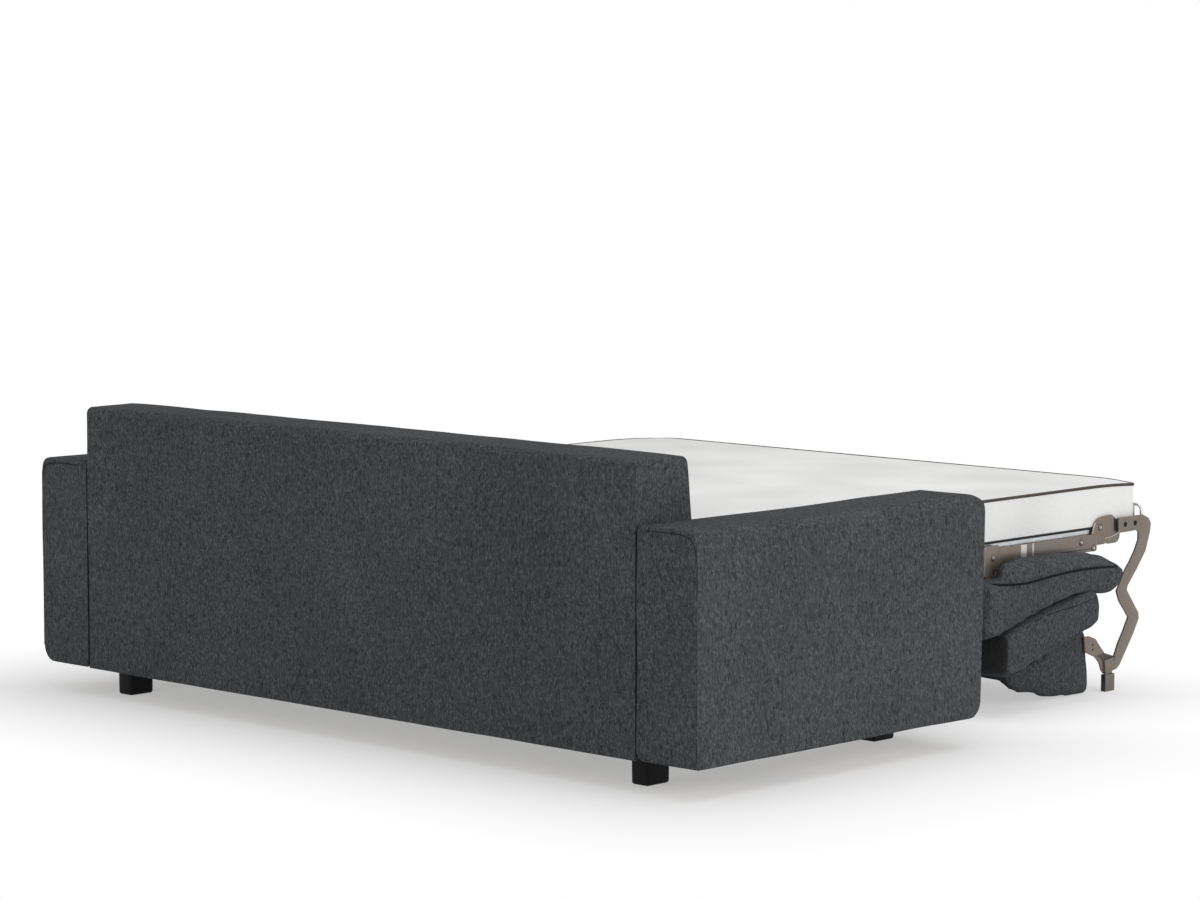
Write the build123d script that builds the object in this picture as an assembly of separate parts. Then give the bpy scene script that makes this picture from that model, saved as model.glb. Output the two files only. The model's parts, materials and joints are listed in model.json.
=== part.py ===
from build123d import *
import math
import os

# Sleeper sofa shown with its bed open. Sizes are in millimetres.
# X runs across the sofa, Y runs towards its back and Z runs up from the floor.
# Places along the depth are given as f, the distance forward from the rear face.

# Overall shell of the sofa
overall_width = 2397.0
arm_width = 192.0
arm_depth = 1061.0
arm_top = 631.0
body_underside = 74.0
arm_edge_radius = 14.0
arm_top_radius = 13.0
arm_wall = 34.0
arm_frame_gap = 1.0
arm_frame_board = 22.0
arm_frame_rim = 66.0
back_top = 777.5
back_crest_depth = 173.0
back_face_depth = 194.0
back_slope_start = 640.0
back_edge_radius = 14.0
back_slab = 40.0
back_board_thickness = 18.0
back_board_margin = 14.0
back_hollow_top = 572.0
back_seam = 0.4
back_post_width = 44.0
back_post_depth = 40.0
back_rail_height = 60.0

# Base rails and feet of the sofa
base_rail_height = 70.0
base_rail_width = 72.5
base_rail_front_inset = 21.0
foot_width = 55.0
foot_depth = 80.0
foot_inset = 31.5
foot_end_inset = 73.0
front_foot_end_inset = 78.0
foot_edge_radius = 4.0

# Mattress in three sections and the frame below it
mattress_side_room = 106.5
mattress_thickness = 116.0
mattress_top = 559.0
mattress_rear = 203.0
mattress_end_room = 27.0
mattress_corner = 10.0
section_gap = 2.0
soft_gap = 0.4
slat_thickness = 6.0
slat_width = 60.0
slat_pitch = 105.0
slat_end_inset = 14.0
rail_height = 24.0
rail_width = 30.0
rail_wall = 2.0
rail_end_gap = 10.0
rail_lip = 10.0
foot_rail_end_gap = 65.0
cross_tube_width = 25.0
tube_rear_inset = 30.0
tube_front_inset = 60.0

# Fold: three sections turn about lines level with the top of the mattress
hinge_height = 561.0
head_hinge = 460.0
head_hinge_closed = 263.0
fold_overhang = 27.0
fold_height_closed = 200.0

# Hinge plates, pins and links beside the mattress
plate_thickness = 4.0
plate_gap = 0.6
plate_lobe = 16.0
pin_radius = 5.0
pin_gap = 0.25
pin_head_radius = 8.5
pin_head_thickness = 2.0
plate_foot_shift = 22.0
plate_lower_lobe = 13.0
swing_tail = 36.0
guide_drop = 60.0
guide_width = 24.0
bracket_length = 120.0
bracket_top_reach = 34.0
bracket_bottom_reach = 96.0
bracket_foot_thickness = 5.0
bracket_foot_length = 132.0
bracket_foot_reach = 36.0
bolt_row_inset = 18.0
bolt_height_inset = 17.0
bolt_head_radius = 7.0
bolt_head_height = 4.0

# Bar, corner plate and swinging leg at each side of the foot section
side_plate_thickness = 5.0
leg_thickness = 6.0
leg_gap = 1.6
bar_front_before_leg = 35.0
bar_drop = 46.0
bar_pivot_height = 408.0
bar_pivot_after_fold = 166.0
rear_plate_after_fold = 131.0
rear_plate_length = 63.0
rear_plate_bottom = 356.0
rear_plate_height = 84.0
rear_plate_slot_length = 10.0
rear_plate_slot_height = 13.5
rear_plate_slot_rise = 12.0
rear_plate_slot_shift = 6.0
rear_plate_round = 9.0
rivet_head_radius = 8.0
rivet_head_height = 3.0
corner_plate_before_leg = 58.0
corner_plate_length = 110.0
corner_plate_bottom = 400.0
corner_plate_height = 77.0
corner_reach_start = 88.0
corner_rivet_place = 37.0
cam_start = 75.0
cam_end = 104.0
cam_height = 421.0
cam_radius = 21.6
bar_corner_radius = 6.0
bar_rivet_inset = 15.0
bar_rivet_drop = 14.0
stop_rivet_place = 46.0
stop_rivet_rise = 5.0
leg_pivot_after_leg = 82.0
leg_pivot_height = 447.0
leg_hole_pitch = 45.0
leg_hole_radius = 6.8
leg_reach = 199.0
leg_height = 467.0
leg_before_end = 145.0
foot_bracket_before_leg = 88.0
foot_bracket_length = 135.0
foot_bracket_bottom = 48.0
foot_bracket_height = 109.0
foot_bracket_hole = 3.0
foot_bracket_hole_place = 38.0
foot_bracket_hole_drops = (25.0, 38.0)
pad_length = 43.0
pad_height = 47.0
pad_width = 16.0
pad_stem_gap = 0.3
pad_edge_radius = 3.0

# Wire hoops that keep the mattress in place
hoop_radius = 4.0
hoop_reach = 25.0
hoop_top = 492.0
hoop_width = 190.0
hoop_second_leg = 25.0
hoop_rise_share = 0.68
hoop_tail = 30.0
hoop_tail_in_rail = 20.0
hoop_bend = 16.0

# Seat cushion, upside down below the foot section
seat_side_room = 16.5
seat_after_fold = 41.0
seat_before_leg = 5.0
seat_bottom = 209.0
seat_height = 148.0
seat_crown = 42.0
seat_board_thickness = 11.0
seat_board_side_room = 146.5
seat_board_inset = 30.0
seat_end_draw = 9.0
rest_end_draw = 5.0
cushion_end_round = 60.0
cushion_end_step = 18.0
cushion_step_draw_share = 0.35

# Back cushion and panel, folded below the seat cushion
back_cushion_side_room = 16.5
back_cushion_before_hinge = 410.0
back_cushion_length = 404.6
back_cushion_bottom = 107.0
back_cushion_height = 175.0
rest_board_thickness = 9.0
rest_board_side_room = 121.5
rest_board_before_hinge = 302.0
wedge_shoulder_before_hinge = 19.0
wedge_side_room = 108.5
wedge_before_hinge = 306.0
wedge_length = 376.0
wedge_bottom = 6.0
wedge_height = 186.0
wedge_arch = 27.0
rest_hinge_inset = 111.0
rest_hinge_height = 290.0
rest_hinge_pitch_share = 0.596
rest_hinge_width = 60.0
rest_leaf_thickness = 3.0
rest_knuckle_radius = 5.0
rest_pocket_gap = 2.0
rest_leaf_length = 102.0
rest_pin_radius = 2.5

# Outlines as shares of the length and height of the piece that they follow
leg_shares = (
    (0.261, 0.999), (0.815, 1.0), (0.945, 0.976), (1.0, 0.942), (0.980, 0.893), (0.884, 0.786),
    (0.698, 0.692), (0.482, 0.595), (0.467, 0.572), (0.628, 0.486), (0.739, 0.428), (0.749, 0.394),
    (0.638, 0.317), (0.482, 0.229), (0.327, 0.143), (0.261, 0.122), (0.155, 0.113), (0.155, 0.024),
    (0.0, 0.024), (0.0, 0.102), (0.140, 0.165), (0.196, 0.191), (0.291, 0.268), (0.412, 0.340),
    (0.513, 0.411), (0.437, 0.450), (0.307, 0.512), (0.240, 0.574), (0.442, 0.698), (0.523, 0.732),
    (0.633, 0.790), (0.719, 0.854), (0.724, 0.899), (0.683, 0.914), (0.437, 0.912), (0.261, 0.912))
foot_bracket_shares = (
    (0.0, 1.0), (0.170, 1.0), (0.378, 0.908), (0.541, 0.688), (0.681, 0.514), (1.0, 0.376),
    (1.0, 0.110), (0.667, 0.0), (0.600, 0.092), (0.526, 0.294), (0.385, 0.450), (0.037, 0.624))
corner_plate_shares = (
    (0.0, 0.120), (0.073, 0.570), (0.160, 0.790), (0.300, 0.930), (0.550, 0.990), (0.818, 1.0),
    (0.918, 0.900), (1.0, 0.800), (1.0, 0.420), (0.700, 0.240), (0.520, 0.0), (0.200, 0.0))
seat_lower_shares = (
    (0.0, 0.06), (0.020, -0.02), (0.123, 0.075), (0.299, 0.284), (0.466, 0.432), (0.637, 0.550),
    (0.716, 0.568), (0.882, 0.507), (0.945, 0.547), (0.990, 0.730), (1.0, 0.850))
seat_upper_shares = (
    (0.995, 0.920, 0.0), (0.965, 0.945, 0.14), (0.879, 0.975, 0.62), (0.774, 1.0, 0.84),
    (0.532, 0.985, 1.08), (0.294, 0.945, 1.25), (0.178, 0.955, 1.05), (0.150, 0.965, 0.10),
    (0.035, 0.985, 0.0), (0.007, 0.940, 0.0))
seat_crown_shares = (
    (1.0, 0.0), (0.989, 0.52), (0.975, 0.88), (0.958, 1.0), (0.944, 0.95), (0.935, 0.25),
    (0.928, 0.0), (0.905, 0.0), (0.885, 0.40), (0.862, 0.80), (0.79, 0.97), (0.4, 1.0), (0.0, 1.0))
back_cushion_shares = (
    (0.0, 0.57), (0.069, 0.623), (0.233, 0.749), (0.483, 0.886), (0.737, 0.989), (0.925, 1.0),
    (0.975, 0.930), (1.0, 0.657), (0.985, 0.566), (0.849, 0.457), (0.475, 0.200), (0.077, 0.011),
    (0.020, 0.030), (0.0, 0.12))
wedge_shares = (
    (0.034, 0.43, 0.0), (0.054, 0.35, 0.35), (0.093, 0.24, 0.8), (0.196, 0.145, 1.0), (0.43, 0.068, 1.0),
    (0.763, 0.0, 1.0), (0.955, 0.0, 0.8), (0.990, 0.022, 0.6), (1.0, 0.09, 0.3), (0.975, 0.54, 0.0),
    (0.965, 0.85, 0.0))
wedge_arch_shares = ((1.0, 0.0), (0.93, 0.5), (0.87, 1.0), (0.0, 1.0))
seat_tube_shares = (0.25, 0.80)
plate_cut = 4.0

# Values worked out from the sizes above
half_width = overall_width / 2
inner_half = half_width - arm_width
mattress_half_width = inner_half - mattress_side_room
fold_hinge_closed = arm_depth + fold_overhang
middle_length = fold_hinge_closed - head_hinge_closed
fold_hinge = head_hinge + middle_length
mattress_foot_end = fold_hinge + middle_length - mattress_end_room
leg_rear = mattress_foot_end - leg_before_end
leg_pivot = leg_rear + leg_pivot_after_leg
seat_rear = fold_hinge + seat_after_fold
seat_length = leg_rear - seat_before_leg - seat_rear
seat_half_width = inner_half - seat_side_room
seat_board_half_width = inner_half - seat_board_side_room
rest_hinge = seat_rear + seat_length - rest_hinge_inset
rest_hinge_pitch = inner_half * rest_hinge_pitch_share
back_cushion_half_width = inner_half - back_cushion_side_room
back_cushion_rear = rest_hinge - back_cushion_before_hinge
rest_board_half_width = inner_half - rest_board_side_room
rest_board_rear = rest_hinge - rest_board_before_hinge
wedge_half_width = inner_half - wedge_side_room
wedge_rear = rest_hinge - wedge_before_hinge
wedge_shoulder = rest_hinge - wedge_shoulder_before_hinge
bar_pivot = fold_hinge + bar_pivot_after_fold
rear_plate_rear = fold_hinge + rear_plate_after_fold
bar_front = leg_rear - bar_front_before_leg
corner_plate_rear = leg_rear - corner_plate_before_leg
foot_bracket_rear = leg_rear - foot_bracket_before_leg
foot_outer = inner_half - foot_inset
base_rail_inner = inner_half - base_rail_width
open_depth = leg_rear + leg_reach
rear_y = open_depth / 2
mattress_bottom = mattress_top - mattress_thickness
slat_top = mattress_bottom - soft_gap
rail_top = slat_top - slat_thickness
rail_bottom = rail_top - rail_height
rail_outer = mattress_half_width + soft_gap
rail_inner = rail_outer - rail_width
foot_rail_end = mattress_foot_end - foot_rail_end_gap
rise = hinge_height - fold_height_closed
root_hinge = (head_hinge_closed + head_hinge - rise) / 2
root_hinge_height = hinge_height - (head_hinge_closed - root_hinge)
layer_inner = rail_outer
layer_outer = layer_inner + plate_thickness + plate_gap
layer_side = layer_outer
layer_leg = layer_side + side_plate_thickness + leg_gap
layer_guide = layer_leg + leg_thickness + 2 * leg_gap
layer_bracket = layer_guide + plate_thickness + plate_gap


def at(f, z, x=0.0):
    """A point from its distance forward of the rear face, its height and its place across."""
    return (x, rear_y - f, z)


def block(x0, x1, f0, f1, z0, z1):
    """A box between two places across, two along the depth and two heights."""
    box = Box(x1 - x0, f1 - f0, z1 - z0)
    return Pos(*at((f0 + f1) / 2, (z0 + z1) / 2, (x0 + x1) / 2)) * box


def outline(points, x):
    """A closed face at one place across, from points along the depth and up."""
    line = Polyline(*[at(f, z, x) for f, z in points], close=True)
    return make_face(line)


def side_plate(points, x0, x1):
    """A flat plate that stands lengthwise, between two places across."""
    return extrude(outline(points, x0), amount=x1 - x0, dir=(1, 0, 0))


def cross_rod(f, z, radius, x0, x1):
    """A round bar across the sofa."""
    rod = Cylinder(radius, x1 - x0, rotation=(0, 90, 0))
    return Pos(*at(f, z, (x0 + x1) / 2)) * rod


def lobed_bar(f0, z0, f1, z1, radius, x0, x1):
    """A flat bar with round ends between two centres."""
    length = math.hypot(f1 - f0, z1 - z0)
    angle = math.degrees(math.atan2(z1 - z0, f0 - f1))
    bar = Rot(0, 90, 0) * Box(2 * radius, length, x1 - x0)
    bar = Pos(*at((f0 + f1) / 2, (z0 + z1) / 2, (x0 + x1) / 2)) * (Rot(angle, 0, 0) * bar)
    return bar + cross_rod(f0, z0, radius, x0, x1) + cross_rod(f1, z1, radius, x0, x1)


def from_shares(shares, rear, bottom, length, height):
    """Outline points from shares of a length and a height."""
    return [(rear + a * length, bottom + b * height) for a, b in shares]


def pair(solid):
    """The solid and its mirror image at the other side."""
    return [solid, mirror(solid, about=Plane.YZ)]


def save(name, solids):
    """Write one node, made of one or more separate solids."""
    group = solids if isinstance(solids, list) else [solids]
    pieces = [piece for item in group for piece in item.solids()]
    shape = pieces[0] if len(pieces) == 1 else Compound(children=pieces)
    export_step(shape, "parts/" + name + ".step")


def save_sides(name, solid):
    """Write a piece and its mirror image as two nodes."""
    save(name + "_right", solid)
    save(name + "_left", mirror(solid, about=Plane.YZ))


def round_long_edges(solid, radius, axis):
    """Round the edges that run along one axis."""
    return fillet(solid.edges().filter_by(axis), radius)


def make_arms():
    """Padded arm covers around a boxed board frame."""
    cover = block(inner_half, half_width, 0, arm_depth, body_underside, arm_top)
    cover = fillet(cover.edges().filter_by(Axis.Z), arm_edge_radius)
    cover = fillet(cover.faces().sort_by(Axis.Z)[-1].edges(), arm_top_radius)
    hollow = block(inner_half + arm_wall, half_width - arm_wall, arm_wall, arm_depth - arm_wall,
                   body_underside - plate_cut, arm_top - arm_wall)
    save_sides("arm_cover", cover - hollow)
    x0 = inner_half + arm_wall + arm_frame_gap / 2
    x1 = half_width - arm_wall - arm_frame_gap / 2
    f0 = arm_wall + arm_frame_gap / 2
    f1 = arm_depth - arm_wall - arm_frame_gap / 2
    z0 = body_underside
    z1 = arm_top - arm_wall - arm_frame_gap / 2
    frame = block(x0, x1, f0, f1, z0, z1)
    window = block(x0 - plate_cut, x1 + plate_cut, f0 + arm_frame_rim, f1 - arm_frame_rim,
                   z0 + arm_frame_rim, z1 - arm_frame_rim)
    core = block(x0 + arm_frame_board, x1 - arm_frame_board, f0 + arm_frame_board,
                 f1 - arm_frame_board, z0 + arm_frame_board, z1 - arm_frame_board)
    save_sides("arm_frame", frame - window - core)


def make_back():
    """Back cover, its board and posts, and the padded crest that overhangs the bed."""
    edge = inner_half - back_seam
    slab = block(-edge, edge, 0, back_slab, body_underside, back_top)
    rear_edges = slab.edges().filter_by(Axis.Z).sort_by(Axis.Y)[-2:]
    slab = fillet(rear_edges, back_edge_radius)
    slab = fillet(slab.faces().sort_by(Axis.Z)[-1].edges().sort_by(Axis.Y)[-1], back_edge_radius)
    save("back_cover", slab)
    board_front = back_slab + back_board_thickness
    board = block(-edge + back_board_margin, edge - back_board_margin, back_slab, board_front,
                  body_underside + back_board_margin, back_hollow_top - back_seam)
    save("back_board", board)
    crest = [(back_slab, back_hollow_top), (back_slab, back_top), (back_crest_depth, back_top),
             (back_face_depth - back_seam, back_slope_start), (back_face_depth, back_hollow_top)]
    bolster = side_plate(crest, -edge, edge)
    soft = bolster.edges().filter_by(Axis.X).sort_by(Axis.Z)[-2:].sort_by(Axis.Y)[0]
    save("back_crest", fillet(soft, back_edge_radius))
    post_front = board_front + back_post_depth
    post = block(edge - back_post_width, edge, board_front, post_front, body_underside,
                 back_hollow_top - back_seam)
    save_sides("back_post", post)
    rail_x = edge - back_post_width
    save("back_lower_rail", block(-rail_x, rail_x, board_front, post_front, body_underside,
                                  body_underside + back_rail_height))


def make_base():
    """Rails along the foot of each arm and the four block feet."""
    rail_front = arm_depth - base_rail_front_inset
    rail = block(base_rail_inner, inner_half - back_seam, back_slab + back_board_thickness
                 + back_post_depth + back_seam, rail_front, body_underside,
                 body_underside + base_rail_height)
    save_sides("base_rail", rail)
    for name, f0 in (("rear", foot_end_inset), ("front", arm_depth - front_foot_end_inset - foot_depth)):
        foot = block(foot_outer - foot_width, foot_outer, f0, f0 + foot_depth, 0, body_underside)
        foot = round_long_edges(foot, foot_edge_radius, Axis.Z)
        save_sides("sofa_foot_" + name, foot)


def mattress_section(f0, f1):
    """One foam section with softly rounded edges."""
    foam = block(-mattress_half_width, mattress_half_width, f0, f1, mattress_bottom, mattress_top)
    return fillet(foam.edges(), mattress_corner)


def section_rails(f0, f1):
    """Square steel tubes at both sides of one section, with a lip that keeps the slats in place."""
    z1 = rail_top
    tube = block(rail_inner, rail_outer, f0, f1, rail_bottom, z1)
    tube = tube + block(rail_outer - rail_lip, rail_outer, f0, f1, z1, slat_top)
    bore = block(rail_inner + rail_wall, rail_outer - rail_wall, f0 - plate_cut, f1 + plate_cut,
                 rail_bottom + rail_wall, z1 - rail_wall)
    return pair(tube - bore)


def section_slats(f0, f1):
    """Wooden slats laid across the rails."""
    span = f1 - f0 - slat_width - 2 * slat_end_inset
    count = max(2, int(span // slat_pitch) + 1)
    step = span / (count - 1)
    half = rail_outer - slat_end_inset
    slats = []
    for i in range(count):
        start = f0 + slat_end_inset + i * step
        slats.append(block(-half, half, start, start + slat_width, rail_top, slat_top))
    return slats


def section_cross_tubes(places):
    """Square tubes between the side rails."""
    return [block(-rail_inner, rail_inner, f, f + cross_tube_width, rail_bottom, rail_top)
            for f in places]


def make_section(name, f0, f1, tube_places, front_gap=rail_end_gap):
    """Mattress, rails, cross tubes and slats of one section of the bed."""
    save("mattress_" + name, mattress_section(f0, f1))
    save(name + "_side_rails", section_rails(f0 + rail_end_gap, f1 - front_gap))
    save(name + "_cross_tubes", section_cross_tubes(tube_places))
    save(name + "_slats", section_slats(f0 + rail_end_gap, f1 - front_gap))


def pin_hole(f, z, x0, x1):
    """The running hole for a hinge pin."""
    return cross_rod(f, z, pin_radius + pin_gap, x0 - plate_cut, x1 + plate_cut)


def rising_plate(f, direction, x0):
    """A bar on the side rail that rises beside the mattress to a hinge line."""
    x1 = x0 + plate_thickness
    rail_middle = rail_bottom + rail_height / 2
    foot_f = f + direction * plate_foot_shift
    bar = lobed_bar(f, hinge_height, foot_f, rail_middle, plate_lower_lobe, x0, x1)
    return bar + cross_rod(f, hinge_height, plate_lobe, x0, x1)


def hinge_pin(f, z, x0, x1):
    """A pin with a head at its outer end."""
    shank = cross_rod(f, z, pin_radius, x0, x1)
    return shank + cross_rod(f, z, pin_head_radius, x1, x1 + pin_head_thickness)


def spacer(f, z, x0, x1):
    """A round spacer between a rail and a plate that stands off it."""
    return cross_rod(f, z, pin_head_radius, x0, x1)


def make_head_plates():
    """Swing plates that carry the head section and turn on the root brackets."""
    x0 = layer_outer
    x1 = x0 + plate_thickness
    rail_middle = rail_bottom + rail_height / 2
    plate = lobed_bar(root_hinge, root_hinge_height, head_hinge, hinge_height, plate_lobe, x0, x1)
    tail_f = head_hinge - swing_tail
    plate = plate + lobed_bar(head_hinge, hinge_height, tail_f, rail_middle, plate_lobe, x0, x1)
    plate = plate + lobed_bar(root_hinge, root_hinge_height, tail_f, rail_middle,
                              plate_lower_lobe, x0, x1)
    plate = plate - pin_hole(root_hinge, root_hinge_height, x0, x1)
    plate = plate - pin_hole(head_hinge, hinge_height, x0, x1)
    save_sides("head_swing_plate", plate + spacer(tail_f, rail_middle, layer_inner, x0))


def make_middle_plates():
    """Plates of the middle section at its two hinge lines, with the guide pivot."""
    x0 = layer_inner
    x1 = x0 + plate_thickness
    guide_lobe = lobed_bar(head_hinge, hinge_height, head_hinge, hinge_height - guide_drop,
                           plate_lower_lobe, x0, x1)
    rear = rising_plate(head_hinge, 1, x0) + guide_lobe
    rear = rear - pin_hole(head_hinge, hinge_height, x0, x1)
    save("middle_rear_plates", pair(rear))
    front = rising_plate(fold_hinge, -1, x0)
    front = front - pin_hole(fold_hinge, hinge_height, x0, x1)
    save("middle_front_plates", pair(front))


def make_guides():
    """Links that keep the middle section level while it moves."""
    x0 = layer_guide
    x1 = x0 + plate_thickness
    root_z = root_hinge_height - guide_drop
    end_z = hinge_height - guide_drop
    link = lobed_bar(root_hinge, root_z, head_hinge, end_z, guide_width / 2, x0, x1)
    link = link - pin_hole(root_hinge, root_z, x0, x1)
    stub = cross_rod(head_hinge, end_z, pin_radius, layer_outer + plate_thickness + plate_gap, x1)
    save_sides("guide_link", link + stub)


def make_root_brackets():
    """Steel brackets on the inner arm walls that carry the swing plates and the links."""
    x0 = layer_bracket
    x1 = x0 + plate_thickness
    low = root_hinge_height - bracket_bottom_reach
    high = root_hinge_height + bracket_top_reach
    front = root_hinge + bracket_length
    web = side_plate([(root_hinge - plate_lobe, low), (root_hinge - plate_lobe, high),
                      (front, high), (front, low)], x0, x1)
    wall_x = inner_half - back_seam
    foot_front = front + bracket_foot_reach
    foot_rear = foot_front - bracket_foot_length
    foot = block(wall_x - bracket_foot_thickness, wall_x, foot_rear, foot_front, low, high)
    rib = block(x1, wall_x - bracket_foot_thickness, front - plate_thickness, front, low, high)
    upper = cross_rod(root_hinge, root_hinge_height, pin_radius, layer_outer, x0)
    lower = cross_rod(root_hinge, root_hinge_height - guide_drop, pin_radius, layer_guide, x0)
    save_sides("pivot_bracket", web + foot + rib + upper + lower)
    bolts = []
    seat_x = wall_x - bracket_foot_thickness
    for z in (low + bolt_height_inset, high - bolt_height_inset):
        for f in (foot_rear + bolt_row_inset, foot_front - bolt_row_inset):
            bolts.append(cross_rod(f, z, bolt_head_radius, seat_x - bolt_head_height, seat_x))
    save("bracket_bolts", [side for bolt in bolts for side in pair(bolt)])


def make_fold_plates():
    """Plates of the foot section at the main fold."""
    x0 = layer_outer
    plate = rising_plate(fold_hinge, 1, x0)
    plate = plate - pin_hole(fold_hinge, hinge_height, x0, x0 + plate_thickness)
    stand = spacer(fold_hinge + plate_foot_shift, rail_bottom + rail_height / 2, layer_inner, x0)
    save("fold_plates", pair(plate + stand))


def make_pins():
    """Hinge pins of the two fold lines."""
    outer = layer_outer + plate_thickness
    head_pin = hinge_pin(head_hinge, hinge_height, layer_inner, outer)
    fold_pin = hinge_pin(fold_hinge, hinge_height, layer_inner, outer)
    save("middle_hinge_pins", pair(head_pin) + pair(fold_pin))


def bar_shape(gap, x0, x1):
    """The bar with a round rear end and a square front end, grown by a gap."""
    radius = bar_drop / 2 + gap
    bar = cross_rod(bar_pivot, bar_pivot_height, radius, x0, x1)
    length = block(x0, x1, bar_pivot, bar_front + gap, bar_pivot_height - radius, bar_pivot_height + radius)
    ends = length.edges().filter_by(Axis.X).sort_by(Axis.Y)[:2]
    return bar + fillet(ends, bar_corner_radius)


def make_side_bars():
    """Bar, rear plate and corner plate along each side of the foot section."""
    x0 = layer_side
    x1 = x0 + side_plate_thickness
    bar = bar_shape(0, x0, x1)
    stand_a = spacer(bar_pivot + rear_plate_length, rail_bottom + rail_height / 2, layer_inner, x0)
    stand_b = spacer(bar_front - bar_drop, rail_bottom + rail_height / 2, layer_inner, x0)
    save_sides("side_bar", bar + stand_a + stand_b)
    rear = block(x1, x1 + plate_thickness, rear_plate_rear, rear_plate_rear + rear_plate_length,
                 rear_plate_bottom, rear_plate_bottom + rear_plate_height)
    rear = round_long_edges(rear, rear_plate_round, Axis.X)
    slot_f = bar_pivot + rear_plate_slot_shift
    slot_z = rear_plate_bottom + rear_plate_slot_rise
    slot = block(x1 - plate_cut, x1 + plate_thickness + plate_cut, slot_f - rear_plate_slot_length / 2,
                 slot_f + rear_plate_slot_length / 2, slot_z - rear_plate_slot_height / 2,
                 slot_z + rear_plate_slot_height / 2)
    save_sides("rear_bar_plate", rear - slot)
    points = from_shares(corner_plate_shares, corner_plate_rear, corner_plate_bottom,
                         corner_plate_length, corner_plate_height)
    cam = lobed_bar(corner_plate_rear + cam_start, cam_height, corner_plate_rear + cam_end, cam_height,
                    cam_radius, x0, x1)
    corner = side_plate(points, x0, x1) + cam - bar_shape(pin_gap, x0, x1)
    corner = corner + spacer(corner_plate_rear + bar_drop, rail_bottom + rail_height / 2, layer_inner, x0)
    reach = lobed_bar(corner_plate_rear + corner_reach_start, leg_pivot_height, leg_pivot,
                      leg_pivot_height, plate_lobe, x0, x1)
    stud = cross_rod(leg_pivot, leg_pivot_height, pin_radius, x0, layer_leg + leg_thickness)
    save_sides("corner_plate", corner + reach + stud)


def make_rivets():
    """Round rivet heads on the bars and plates."""
    x0 = layer_side + side_plate_thickness
    heads = [(bar_pivot, bar_pivot_height, x0 + plate_thickness),
             (bar_front - bar_rivet_inset, bar_pivot_height - bar_rivet_drop, x0),
             (corner_plate_rear + corner_rivet_place, leg_pivot_height, x0),
             (corner_plate_rear - stop_rivet_place, bar_pivot_height + stop_rivet_rise, x0)]
    solids = [cross_rod(f, z, rivet_head_radius, x, x + rivet_head_height) for f, z, x in heads]
    save("rivets", [side for solid in solids for side in pair(solid)])


def make_legs():
    """Zigzag flat legs with a bracket and a pad at the foot."""
    x0 = layer_leg
    x1 = x0 + leg_thickness
    leg = side_plate(from_shares(leg_shares, leg_rear, 0, leg_reach, leg_height), x0, x1)
    leg = leg - pin_hole(leg_pivot, leg_pivot_height, x0, x1)
    leg = leg - cross_rod(leg_pivot + leg_hole_pitch, leg_pivot_height, leg_hole_radius,
                          x0 - plate_cut, x1 + plate_cut)
    save_sides("leg", leg)
    points = from_shares(foot_bracket_shares, foot_bracket_rear, foot_bracket_bottom,
                         foot_bracket_length, foot_bracket_height)
    bracket = side_plate(points, x0 - leg_thickness, x0)
    for drop in foot_bracket_hole_drops:
        bracket = bracket - cross_rod(foot_bracket_rear + foot_bracket_hole_place,
                                      foot_bracket_bottom + foot_bracket_height - drop,
                                      foot_bracket_hole, x0 - 2 * leg_thickness, x0 + plate_cut)
    save_sides("foot_bracket", bracket)
    middle = x0 + leg_thickness / 2
    stem_rear = leg_rear + leg_shares[18][0] * leg_reach
    stem_front = leg_rear + leg_shares[17][0] * leg_reach
    centre = (stem_rear + stem_front) / 2
    pad = block(middle - pad_width / 2, middle + pad_width / 2, centre - pad_length / 2,
                centre + pad_length / 2, 0, pad_height)
    pad = round_long_edges(pad, pad_edge_radius, Axis.Z)
    slot = block(x0 - pad_stem_gap, x1 + pad_stem_gap, stem_rear - pad_stem_gap,
                 stem_front + pad_stem_gap, leg_height * leg_shares[17][1] - pad_stem_gap,
                 pad_height + plate_cut)
    save_sides("leg_pad", pad - slot)


def bent_wire(points):
    """A round wire through points, bent at each of them."""
    path = FilletPolyline(*points, radius=hoop_bend)
    return sweep(Plane(origin=path @ 0, z_dir=path % 0) * Circle(hoop_radius), path=path)


def make_hoops():
    """Wire hoops at the foot end of the mattress, plugged into the open ends of the side rails."""
    x1 = rail_outer + pin_gap + hoop_radius
    x0 = x1 - hoop_width
    x2 = x1 - hoop_second_leg
    plug = (rail_inner + rail_outer) / 2
    front = mattress_foot_end + hoop_reach
    low = rail_bottom + rail_height * hoop_rise_share
    hoop = bent_wire([at(foot_rail_end, low, x0), at(front, low, x0), at(front, hoop_top, x0),
                      at(front, hoop_top, x1), at(front, low, x1), at(foot_rail_end + hoop_tail, low, plug),
                      at(foot_rail_end - hoop_tail_in_rail, low, plug)])
    second = bent_wire([at(front, hoop_top, x2), at(front, low, x2),
                        at(foot_rail_end + hoop_tail, low, plug)])
    save("mattress_hoops", pair(hoop + second))


def end_draw(inset):
    """How much an outline is drawn in at a distance from the cushion's end."""
    if inset < cushion_end_step:
        return 1 - (1 - cushion_step_draw_share) * inset / cushion_end_step
    return cushion_step_draw_share * max(0.0, (cushion_end_round - inset) / (cushion_end_round - cushion_end_step))


def cushion(half, section, extra=()):
    """A cushion lofted across, whose ends are drawn in."""
    places = {1.0, 1.0 - cushion_end_step / half, 1.0 - cushion_end_round / half, *extra, 0.0}
    right = [(share * half, section(share, end_draw(half - share * half)))
             for share in sorted(places, reverse=True)]
    rows = [(-x, points) for x, points in right[:-1]] + right[::-1]
    faces = [outline(points, x) for x, points in rows]
    return loft(faces, ruled=True)


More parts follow.
